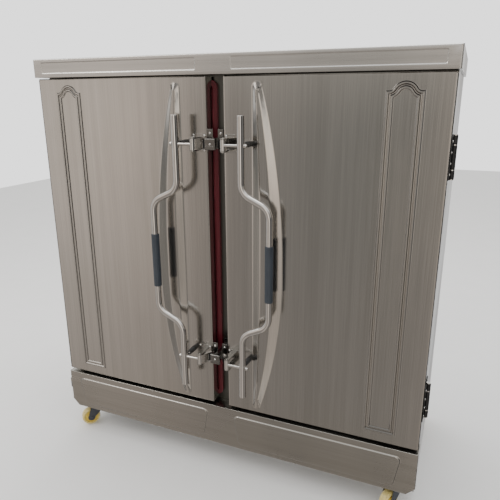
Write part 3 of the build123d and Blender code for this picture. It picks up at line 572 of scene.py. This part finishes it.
def dress(node: str, finish: Finish) -> None:
    """Gives a CAD node a finish through its material slots.

    Args:
        node: The node's name.
        finish: The finish that it gets.
    """
    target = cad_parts[node]
    if not target.material_slots:
        target.data.materials.append(None)
    for slot in target.material_slots:
        slot.material = finish.material()
    LOG.info("dressed %s in %s", node, finish.name)


def settle(piece: bpy.types.Object, body: str) -> bpy.types.Object:
    """Puts a finished piece on its body.

    Args:
        piece: The new piece.
        body: The body that it rides on.

    Returns:
        The same piece.
    """
    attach(piece, body)
    LOG.info("built %s on %s, %d faces", piece.name, body, len(piece.data.polygons))
    return piece


def flattened(piece: bpy.types.Object) -> None:
    """Turns a piece's modifiers into plain mesh.

    Args:
        piece: The piece, which keeps its name and loses its modifiers.
    """
    evaluated = piece.evaluated_get(bpy.context.evaluated_depsgraph_get())
    mesh = bpy.data.meshes.new_from_object(evaluated)
    piece.modifiers.clear()
    piece.data = mesh


def crossing(first: list[Vector], second: list[Vector]) -> float | None:
    """Where two flat runs cross, seen in their plane.

    Args:
        first: The ends of the first run.
        second: The ends of the second run.

    Returns:
        The share of the first run before the crossing, or None.
    """
    (a, b), (c, d) = first, second
    run, other, gap = b - a, d - c, c - a
    area = run.cross(other)
    if abs(area) < PARALLEL:
        return None
    share, reach = gap.cross(other) / area, gap.cross(run) / area
    return share if 0.0 < share < 1.0 and 0.0 < reach < 1.0 else None


@dataclass
class Untangler:
    """Closes the small loops that wide rounding leaves in a face's outline at tight corners.

    A loop has at most as many corners as the window, and at most the longest length in metres.
    """

    window: int = 24
    longest: float = 0.040
    passes: int = 12
    shortest: float = 2e-6

    def knots(self, face: bmesh.types.BMFace) -> list[tuple[list[bmesh.types.BMVert], Vector]]:
        """The loops of one face.

        Args:
            face: The face.

        Returns:
            The corners of each loop, and the point where it crosses itself.
        """
        corners = list(face.verts)
        count = len(corners)
        if count < 4:
            return []
        normal = face.normal if face.normal.length > 0.5 else Vector((0.0, 0.0, 1.0))
        across = normal.orthogonal().normalized()
        up = normal.cross(across)
        flat = [Vector((across.dot(v.co), up.dot(v.co))) for v in corners]
        found, at = [], 0
        while at < count:
            hit = 0
            for step in range(2, min(count - 1, self.window)):
                ends = [flat[(at + n) % count] for n in (0, 1, step, step + 1)]
                share = crossing(ends[:2], ends[2:])
                if share is None:
                    continue
                loop = [corners[(at + n) % count] for n in range(1, step + 1)]
                if sum((p.co - q.co).length for p, q in zip(loop, loop[1:])) < self.longest:
                    found.append((loop, corners[at].co.lerp(loop[0].co, share)))
                    hit = step
                    break
            at += hit + 1
        return found

    def run(self, mesh: bpy.types.Mesh) -> None:
        """Pulls every loop of a mesh together into one point.

        Args:
            mesh: The mesh, which is changed.
        """
        work = bmesh.new()
        work.from_mesh(mesh)
        for _ in range(self.passes):
            work.normal_update()
            knots = [knot for face in work.faces for knot in self.knots(face)]
            if not knots:
                break
            used = set()
            for corners, place in knots:
                if used.isdisjoint(corners):
                    used.update(corners)
                    bmesh.ops.pointmerge(work, verts=corners, merge_co=place)
            bmesh.ops.dissolve_degenerate(work, dist=self.shortest, edges=work.edges)
        work.to_mesh(mesh)
        work.free()


@dataclass
class SoftCopy:
    """A copy of a CAD node whose edges and pressed creases are rounded over, which stands for the node.

    The widths in metres are for plain edges, for sharp creases in the front, for its pressed slopes and for the
    folds from the front to a flange.
    """

    node: str
    body: str
    finish: Finish
    edge: float = 0.0005
    crease: float = 0.0005
    slope: float = 0.0005
    fold: float = 0.0004
    segments: int = 2

    @property
    def widest(self) -> float:
        """The widest rounding, which a bevel weight of one stands for."""
        return max(self.edge, self.crease, self.slope, self.fold)

    def build(self) -> bpy.types.Object:
        """Merges the node's loose faces, rounds its edges and replaces it.

        Returns:
            The rounded piece.
        """
        mesh = self.merged()
        piece = bpy.data.objects.new(f"{self.node}_piece", mesh)
        bpy.context.scene.collection.objects.link(piece)
        bevel = piece.modifiers.new("Rounded edges", "BEVEL")
        bevel.width = self.widest
        bevel.segments = self.segments
        bevel.limit_method = "WEIGHT"
        bevel.use_clamp_overlap = False
        bpy.context.view_layer.update()
        flattened(piece)
        Untangler().run(piece.data)
        evened = piece.modifiers.new("Flat faces stay flat", "WEIGHTED_NORMAL")
        evened.mode = "FACE_AREA_WITH_ANGLE"
        bpy.context.view_layer.update()
        flattened(piece)
        settle(piece, self.body)
        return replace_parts(piece, self.node)

    def merged(self) -> bpy.types.Mesh:
        """The node's mesh with its faces joined and a rounding width on each real edge.

        Returns:
            The new mesh.
        """
        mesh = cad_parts[self.node].data.copy()
        seen = mesh.attributes.new("cad_normal", "FLOAT_VECTOR", "CORNER")
        seen.data.foreach_set("vector", [c for normal in mesh.corner_normals for c in normal.vector])
        work = bmesh.new()
        work.from_mesh(mesh)
        bmesh.ops.remove_doubles(work, verts=work.verts, dist=ONE_POINT)
        bmesh.ops.dissolve_limit(
            work, angle_limit=ONE_PLANE, verts=work.verts, edges=work.edges, delimit={"NORMAL"},
        )
        normals = work.loops.layers.float_vector["cad_normal"]
        weights = work.edges.layers.float.new("bevel_weight_edge")
        for edge in work.edges:
            edge[weights] = self.width_at(edge, normals) / self.widest
        for face in work.faces:
            face.smooth = True
        work.to_mesh(mesh)
        work.free()
        for name in ("custom_normal", "sharp_edge", "cad_normal"):
            if name in mesh.attributes:
                mesh.attributes.remove(mesh.attributes[name])
        mesh.materials.clear()
        mesh.materials.append(self.finish.material())
        return mesh

    def width_at(self, edge: bmesh.types.BMEdge, normals: bmesh.types.BMLayerItem) -> float:
        """How far an edge is rounded: not at all where the surface runs on smoothly.

        Args:
            edge: The edge.
            normals: The layer with the CAD surface's own normals.

        Returns:
            The rounding width in metres.
        """
        if len(edge.link_faces) != 2:
            return 0.0
        turn = 0.0
        for vertex in edge.verts:
            loops = (loop for face in edge.link_faces for loop in face.loops if loop.vert is vertex)
            first, second = (loop[normals] for loop in loops)
            turn = max(turn, first.angle(second, 0.0))
        if turn < SMOOTH_TURN:
            return 0.0
        behind = [face for face in edge.link_faces if face.normal.y > -0.5]
        if behind:
            folded = len(behind) == 1 and behind[0].calc_area() > LEAST_FLANGE * edge.calc_length()
            return self.fold if folded else self.edge
        return self.slope if turn < SLOPE_TURN else self.crease


class Rig:
    """A Geometry Nodes tree with named sizes."""

    def __init__(self, name: str) -> None:
        """Makes an empty tree with one geometry output.

        Args:
            name: The tree's name.
        """
        self.tree = bpy.data.node_groups.new(name, "GeometryNodeTree")
        self.tree.interface.new_socket("Geometry", in_out="OUTPUT", socket_type="NodeSocketGeometry")
        self.entry = self.tree.nodes.new("NodeGroupInput")
        self.exit = self.tree.nodes.new("NodeGroupOutput")

    def size(self, name: str, kind: str = "NodeSocketFloat") -> bpy.types.NodeSocket:
        """Adds a named input and returns its socket inside the tree."""
        self.tree.interface.new_socket(name, in_out="INPUT", socket_type=kind)
        return self.entry.outputs[name]

    def node(
        self,
        kind: str,
        settings: dict[str, object] | None = None,
        inputs: dict[str | int, object] | None = None,
    ) -> bpy.types.Node:
        """Adds a node, sets it up and links it.

        Args:
            kind: The node's type.
            settings: Its settings, set first.
            inputs: Values, or sockets to link, by name or number.

        Returns:
            The node.
        """
        made = self.tree.nodes.new(kind)
        for name, value in (settings or {}).items():
            setattr(made, name, value)
        for name, value in (inputs or {}).items():
            if isinstance(value, bpy.types.NodeSocket):
                self.tree.links.new(value, made.inputs[name])
            else:
                made.inputs[name].default_value = value
        return made

    def maths(self, operation: str, first: object, second: object) -> bpy.types.NodeSocket:
        """One Math node on two values."""
        return self.node("ShaderNodeMath", {"operation": operation}, {0: first, 1: second}).outputs[0]

    def close(self, geometry: bpy.types.NodeSocket, material: bpy.types.Material) -> None:
        """Ends the tree in real geometry with a material.

        Args:
            geometry: What the tree has made.
            material: The material that it gets.
        """
        real = self.node("GeometryNodeRealizeInstances", inputs={0: geometry})
        done = self.node("GeometryNodeSetMaterial", inputs={0: real.outputs[0], "Material": material})
        self.tree.links.new(done.outputs[0], self.exit.inputs[0])

    def piece(self, name: str, sizes: dict[str, object]) -> bpy.types.Object:
        """Runs the tree once and keeps its result as a plain mesh.

        Args:
            name: The new piece's name.
            sizes: Values for the tree's named inputs.

        Returns:
            The piece, without its modifier.
        """
        made = bpy.data.objects.new(name, bpy.data.meshes.new(name))
        bpy.context.scene.collection.objects.link(made)
        modifier = made.modifiers.new(self.tree.name, "NODES")
        modifier.node_group = self.tree
        for item in self.tree.interface.items_tree:
            if item.in_out == "INPUT" and item.name in sizes:
                modifier[item.identifier] = sizes[item.name]
        bpy.context.view_layer.update()
        flattened(made)
        return made


@dataclass
class Fasteners:
    """Rows of screw or rivet heads, each row a step apart, made by one Geometry Nodes tree."""

    finish: Finish
    crossed: bool
    seed: int = 7

    def __post_init__(self) -> None:
        """Builds the tree once."""
        rig = Rig("Screw rows" if self.crossed else "Rivet rows")
        head = self._head(rig)
        line = rig.node("GeometryNodeMeshLine", inputs={
            "Count": rig.size("Count", "NodeSocketInt"),
            "Start Location": rig.size("Start", "NodeSocketVector"),
            "Offset": rig.size("Step", "NodeSocketVector"),
        })
        rows = rig.node("GeometryNodeMeshLine", inputs={
            "Count": rig.size("Rows", "NodeSocketInt"),
            "Offset": rig.size("Row step", "NodeSocketVector"),
        })
        heads = rig.node("GeometryNodeInstanceOnPoints", inputs={
            "Points": line.outputs[0], "Instance": head, "Rotation": rig.size("Facing", "NodeSocketVector"),
        })
        spin = rig.node("FunctionNodeRandomValue", {"data_type": "FLOAT"}, {
            "Min": 0.0, "Max": math.pi / 2, "Seed": rig.size("Seed", "NodeSocketInt"),
        })
        turn = rig.node("ShaderNodeCombineXYZ", inputs={"Z": spin.outputs[1]})
        turned = rig.node("GeometryNodeRotateInstances", inputs={
            "Instances": heads.outputs[0], "Rotation": turn.outputs[0], "Local Space": True,
        })
        field_of = rig.node("GeometryNodeInstanceOnPoints", inputs={
            "Points": rows.outputs[0], "Instance": turned.outputs[0],
        })
        rig.close(field_of.outputs[0], self.finish.material())
        self.rig = rig

    def _head(self, rig: Rig) -> bpy.types.NodeSocket:
        """A crowned head, with a cross cut into it or a mandrel hole left in it.

        Args:
            rig: The tree that the head is made in.

        Returns:
            The head's geometry.
        """
        radius, height = rig.size("Head radius"), rig.size("Head height")
        disc = rig.node("GeometryNodeMeshCylinder", inputs={
            "Vertices": 20, "Radius": radius, "Depth": rig.maths("MULTIPLY", height, 0.9),
        })
        crown = rig.node("GeometryNodeExtrudeMesh", inputs={
            "Mesh": disc.outputs["Mesh"], "Selection": disc.outputs["Top"],
            "Offset Scale": rig.maths("MULTIPLY", height, 0.38),
        })
        shaped = rig.node("GeometryNodeScaleElements", inputs={
            "Geometry": crown.outputs["Mesh"], "Selection": crown.outputs["Top"], "Scale": 0.72,
        })
        second = rig.node("GeometryNodeExtrudeMesh", inputs={
            "Mesh": shaped.outputs[0], "Selection": crown.outputs["Top"],
            "Offset Scale": rig.maths("MULTIPLY", height, 0.17),
        })
        top = rig.node("GeometryNodeScaleElements", inputs={
            "Geometry": second.outputs["Mesh"], "Selection": second.outputs["Top"], "Scale": 0.6,
        })
        wide = rig.maths("MULTIPLY", radius, 1.15 if self.crossed else 0.5)
        thin = rig.maths("MULTIPLY", radius, 0.26 if self.crossed else 0.5)
        cuts = []
        for across, deep in ((wide, thin), (thin, wide)):
            size = rig.node("ShaderNodeCombineXYZ", inputs={"X": across, "Y": deep, "Z": height})
            cube = rig.node("GeometryNodeMeshCube", inputs={"Size": size.outputs[0]})
            lift = rig.node("ShaderNodeCombineXYZ", inputs={"Z": rig.maths("MULTIPLY", height, 0.95)})
            cuts.append(rig.node("GeometryNodeTransform", inputs={
                "Geometry": cube.outputs[0], "Translation": lift.outputs[0],
            }))
        cut = rig.node("GeometryNodeMeshBoolean", {"operation": "DIFFERENCE", "solver": "EXACT"}, {0: top.outputs[0]})
        for cutter in cuts:
            rig.tree.links.new(cutter.outputs[0], cut.inputs[1])
        return cut.outputs[0]

    def rows(self, name: str, body: str, **sizes: object) -> bpy.types.Object:
        """Makes one field of heads.

        Args:
            name: The piece's name.
            body: The body that it rides on.
            sizes: The tree's sizes, with underscores for spaces.

        Returns:
            The piece.
        """
        values = {key.replace("_", " "): value for key, value in sizes.items()}
        piece = self.rig.piece(name, {"Seed": self.seed, **values})
        return settle(piece, body)


@dataclass
class Shell:
    """The sheets round the cabinet: sides, rear, cap, skirt and front frame."""

    rivet_radius: float = 0.0032
    rivet_height: float = 0.0012

    def build(self) -> None:
        """Rounds the sheets that show and rivets the rear sheet."""
        SoftCopy("top_cap", "cabinet", CAP_STEEL, 0.0004, crease=0.0013, fold=0.0032).build()
        SoftCopy("skirt_panel", "cabinet", SKIRT_STEEL, 0.0004, crease=0.0018, fold=0.0036).build()
        SoftCopy("side_panels", "cabinet", SIDE_STEEL, 0.0004).build()
        dress("rear_panel", SIDE_STEEL)
        # The front frame gets painted shade, a dark copy of the brushed steel.
        dress("front_frame", SHADED_FRAME_STEEL)
        dress("insulation", WOOL)
        dress("door_seals", RED_GASKET)
        self.rivet_rear()

    def rivet_rear(self) -> None:
        """Rivets up both edges of the rear sheet and along its head."""
        rivets = Fasteners(PLATED_STEEL, crossed=False)
        sizes = {"Head_radius": self.rivet_radius, "Head_height": self.rivet_height}
        facing = (-math.pi / 2, 0.0, 0.0)
        level = BACK + self.rivet_height * 0.45
        rivets.rows(
            "rear_edge_rivets", "cabinet", **sizes, Facing=facing,
            Start=(-0.684, level, 0.20), Step=(0.0, 0.0, 0.16), Count=8, Rows=2, Row_step=(1.368, 0.0, 0.0),
        )
        rivets.rows(
            "rear_head_rivets", "cabinet", **sizes, Facing=facing,
            Start=(-0.56, level, 1.412), Step=(0.16, 0.0, 0.0), Count=8, Rows=1, Row_step=(0.0, 0.0, 0.1),
        )


@dataclass
class Door:
    """One door with its pressed sheet, inner pan, hinges and latch plates."""

    side: Side
    leaf_screw_y: float = FRONT + 0.022
    frame_screw_y: float = FRONT + 0.073
    leaf_face: float = 0.703
    pitch: float = 0.030

    @property
    def body(self) -> str:
        """The body that the door's pieces ride on."""
        return f"{self.side.word}_door"

    def build(self, screws: Fasteners) -> None:
        """Dresses the door and adds its hinge screws.

        Args:
            screws: The maker of crossed screw heads.
        """
        word = self.side.word
        SoftCopy(f"{word}_door_skin", self.body, DOOR_STEEL, 0.0003, crease=0.0008, slope=0.0031, segments=3).build()
        dress(f"{word}_door_pan", LINER_STEEL)
        dress(f"{word}_door_core", WOOL)
        SoftCopy(f"{word}_hinge_leaves", self.body, HINGE_PAINT, 0.0005).build()
        SoftCopy(f"{word}_latch_bases", self.body, LATCH_STEEL, 0.0005).build()
        dress(f"{word}_latch_screws", SCREW_STEEL)
        SoftCopy(f"{word}_bumpers", self.body, STOP_RUBBER, 0.0008).build()
        self.screw_hinges(screws)

    def screw_hinges(self, screws: Fasteners) -> None:
        """Four screws in each hinge leaf, on the door and on the cabinet's side.

        Args:
            screws: The maker of crossed screw heads.
        """
        low, high = HINGE_LEVELS
        sizes = {
            "Head_radius": 0.0036, "Head_height": 0.0016, "Facing": (0.0, self.side.sign * math.pi / 2, 0.0),
            "Step": (0.0, 0.0, self.pitch), "Count": 4, "Rows": 2, "Row_step": (0.0, 0.0, high - low),
        }
        x, start = self.side.sign * (self.leaf_face + 0.0005), low - 1.5 * self.pitch
        word = self.side.word
        screws.rows(f"{word}_door_leaf_screws", self.body, Start=(x, self.leaf_screw_y, start), **sizes)
        screws.rows(f"{word}_frame_leaf_screws", "cabinet", Start=(x, self.frame_screw_y, start), **sizes)


@dataclass
class Handle:
    """One bent handle with its sleeves, grip, levers and rollers."""

    side: Side

    def build(self) -> None:
        """Dresses the tube, grip, levers and rollers."""
        word = self.side.word
        dress(f"{word}_handle_tube", TUBE_STEEL)
        dress(f"{word}_handle_sleeves", TUBE_STEEL)
        dress(f"{word}_handle_grip", GRIP_RUBBER)
        dress(f"{word}_latch_arms", LEVER_STEEL)
        SoftCopy(f"{word}_latch_rollers", f"{word}_rollers", BLACK_NYLON, 0.0005).build()


@dataclass
class Keepers:
    """The keepers on the mullion, the frame's hinge leaves and their pins."""

    def build(self) -> None:
        """Rounds the keepers and dresses what fixes them."""
        # The keeper brackets get painted shade, a dark copy of polished steel.
        SoftCopy("keeper_brackets", "cabinet", SHADED_KEEPER_STEEL, 0.0006).build()
        dress("keeper_screws", SCREW_STEEL)
        SoftCopy("hinge_frame_leaves", "cabinet", HINGE_PAINT, 0.0005).build()
        dress("hinge_pins", SCREW_STEEL)


@dataclass
class Caster:
    """One swivel caster."""

    name: str

    def build(self) -> None:
        """Dresses the fork and colours the wheel round its axle."""
        x, y, yaw = WHEELS[self.name]
        SoftCopy(f"caster_fork_{self.name}", f"caster_{self.name}", FORK_PAINT, 0.0005).build()
        centre = (x, y, WHEEL_RADIUS)
        wheel = CastWheel(f"Wheel {self.name}", "yellow_tread", (0.66, 0.54, 0.20), centre=centre, yaw=yaw)
        dress(f"caster_wheel_{self.name}", wheel)


@dataclass
class Chambers:
    """The liners, racks and steam plates behind the doors."""

    finishes: dict[str, Finish] = field(default_factory=lambda: {
        "chamber_liners": LINER_STEEL,
        "chamber_floors": LINER_STEEL,
        "steam_plates": LINER_STEEL,
        "rack_uprights": RACK_STEEL,
        "tray_runners": RACK_STEEL,
    })

    def build(self) -> None:
        """Dresses what carries the trays."""
        for node, finish in self.finishes.items():
            dress(node, finish)


@dataclass
class Services:
    """The tank with its heaters, and the fittings for water, power and steam."""

    def build(self) -> None:
        """Dresses the tank, the pipes and the fittings."""
        dress("water_tank", LINER_STEEL)
        dress("heaters", SCREW_STEEL)
        dress("float_box", LINER_STEEL)
        dress("steam_vents", LATCH_STEEL)
        dress("cable_gland", BLACK_NYLON)
        dress("drain_valve", TURNED_BRASS)
        SoftCopy("drain_lever", "drain_lever", BLACK_NYLON, 0.0008).build()


@dataclass
class Chassis:
    """The base frame with its caster plates and bolts."""

    def build(self) -> None:
        """Dresses the frame and builds the four casters."""
        SoftCopy("base_frame", "cabinet", PLATED_STEEL, 0.0012).build()
        dress("caster_plates", PLATED_STEEL)
        dress("caster_bolts", PLATED_STEEL)
        for name in WHEELS:
            Caster(name).build()


@dataclass
class Studio:
    """The camera at the photograph's place, the floor, the lights and the room."""

    camera_place: Place = (0.745, -1.78795, 1.3675)
    camera_turn: Place = (73.3864, 0.1791, 22.7645)
    lens: float = 36.98
    floor_x: float = 6.0
    floor_y: tuple[float, float] = (-6.0, 9.0)
    strength: float = 2.0
    low_wall: Colour = (0.19, 0.172, 0.158)
    high_wall: Colour = (0.55, 0.51, 0.465)
    ceiling: Colour = (0.70, 0.70, 0.695)
    backdrop: Colour = (0.95, 0.95, 0.95)

    def build(self) -> None:
        """Sets up the camera, the floor, the lamps and the world."""
        self.add_camera()
        self.add_floor()
        self.add_lamp("Left window", (-2.6, -2.4, 3.6), (0.0, -0.3, 0.8), 1.6, 50.0, (1.0, 0.95, 0.9))
        self.add_lamp("Top soft", (0.0, 0.6, 4.2), (0.0, 0.0, 0.8), 3.0, 90.0, (1.0, 1.0, 1.0))
        self.set_world()

    def add_camera(self) -> None:
        """The camera that the photograph was fitted to."""
        data = bpy.data.cameras.new("Camera")
        data.lens = self.lens
        camera = bpy.data.objects.new("Camera", data)
        camera.location = self.camera_place
        camera.rotation_euler = tuple(math.radians(a) for a in self.camera_turn)
        bpy.context.scene.collection.objects.link(camera)
        bpy.context.scene.camera = camera

    def add_floor(self) -> None:
        """A plain pale floor, which the gloss of the sheets doesn't show."""
        half, (near, far) = self.floor_x, self.floor_y
        mesh = bpy.data.meshes.new("Floor")
        corners = [(-half, near, 0.0), (half, near, 0.0), (half, far, 0.0), (-half, far, 0.0)]
        mesh.from_pydata(corners, [], [(0, 1, 2, 3)])
        floor = bpy.data.objects.new("Floor", mesh)
        floor.visible_glossy = False
        bpy.context.scene.collection.objects.link(floor)
        graph = Graph("Floor")
        speck = graph.noise(graph.place(), 6.0, 3.0)
        colour = graph.mixed(speck, (0.80, 0.80, 0.795), (0.84, 0.84, 0.835))
        mesh.materials.append(graph.finish(Base_Color=colour, Roughness=0.85))

    def add_lamp(self, name: str, place: Place, aim: Place, size: float, power: float, colour: Colour) -> None:
        """One soft square lamp.

        Args:
            name: The lamp's name.
            place: Where it hangs.
            aim: The point that it faces.
            size: Its width in metres.
            power: Its power in watts.
            colour: Its colour.
        """
        data = bpy.data.lights.new(name, "AREA")
        data.size = size
        data.energy = power
        data.color = colour
        lamp = bpy.data.objects.new(name, data)
        lamp.location = place
        lamp.rotation_euler = (Vector(aim) - Vector(place)).to_track_quat("-Z", "Y").to_euler()
        bpy.context.scene.collection.objects.link(lamp)

    def set_world(self) -> None:
        """Soft walls for the gloss, uneven in front with a duller lower part, and a plain backdrop to be seen."""
        world = bpy.data.worlds.new("Room")
        bpy.context.scene.world = world
        world.use_nodes = True
        room = Graph.of_tree(world.node_tree)
        towards = room.node("ShaderNodeTexCoord", output="Generated")
        ahead = room.axis(towards, "Y") * -1.0
        turn = room.node("ShaderNodeMath", {"operation": "ARCTAN2"}, {0: room.axis(towards, "X"), 1: ahead})
        share = turn * (0.5 / math.pi) + 0.5
        walls = room.node("ShaderNodeValToRGB", {"stops": self.walls()}, {0: share})
        height = room.axis(towards, "Z")
        low = room.step(height, -0.02, -0.5) * room.step(ahead, -0.3, 0.1)
        colour = room.mixed(room.step(height, -0.05, 0.08) * 0.3, walls, self.high_wall)
        colour = room.mixed(low * 0.65, colour, self.low_wall)
        colour = room.mixed(room.step(height, 0.25, 0.75), colour, self.ceiling)
        glow = room.node("ShaderNodeBackground", inputs={"Color": colour, "Strength": self.strength})
        plain = room.node("ShaderNodeBackground", inputs={"Color": self.backdrop, "Strength": self.strength})
        seen = room.node("ShaderNodeLightPath", output="Is Camera Ray")
        both = room.node("ShaderNodeMixShader", inputs={0: seen, 1: glow, 2: plain})
        end = next(n for n in world.node_tree.nodes if n.type == "OUTPUT_WORLD")
        room.feed(end.inputs["Surface"], both)

    @staticmethod
    def walls() -> list[tuple[float, Colour]]:
        """What stands round the studio, from behind the cabinet over its left side, its front and its right side.

        Returns:
            Places from 0 to 1 with the colour there, at half its brightness.
        """
        degrees = [
            (-180, (0.75, 0.75, 0.75)), (-115, (0.70, 0.70, 0.69)), (-80, (0.58, 0.57, 0.56)),
            (-67, (0.12, 0.12, 0.12)), (-54, (0.13, 0.13, 0.12)), (-46, (0.64, 0.575, 0.52)),
            (-35, (0.58, 0.50, 0.44)), (-28, (0.23, 0.205, 0.185)), (-20, (0.19, 0.18, 0.168)),
            (-12, (0.165, 0.162, 0.15)), (-2, (0.15, 0.145, 0.135)), (3, (0.58, 0.50, 0.43)),
            (12, (0.92, 0.81, 0.70)), (24, (0.85, 0.79, 0.72)), (33, (0.20, 0.20, 0.195)),
            (42, (0.04, 0.04, 0.04)), (74, (0.04, 0.04, 0.04)), (88, (0.15, 0.15, 0.15)),
            (132, (0.15, 0.15, 0.15)), (148, (0.07, 0.07, 0.07)), (163, (0.45, 0.45, 0.45)),
            (172, (0.75, 0.75, 0.75)), (180, (0.75, 0.75, 0.75)),
        ]
        return [(0.5 + angle / 360.0, colour) for angle, colour in degrees]


def main() -> None:
    """Builds every sub-assembly in order and reports each piece."""
    logging.basicConfig(level=logging.INFO, format="%(name)s: %(message)s")
    screws = Fasteners(SCREW_STEEL, crossed=True)
    assemblies = [Shell(), Keepers(), Chassis(), Chambers(), Services()]
    for assembly in assemblies:
        assembly.build()
    for side in Side:
        Door(side).build(screws)
        Handle(side).build()
    Studio().build()


if __name__ == "__main__":
    main()
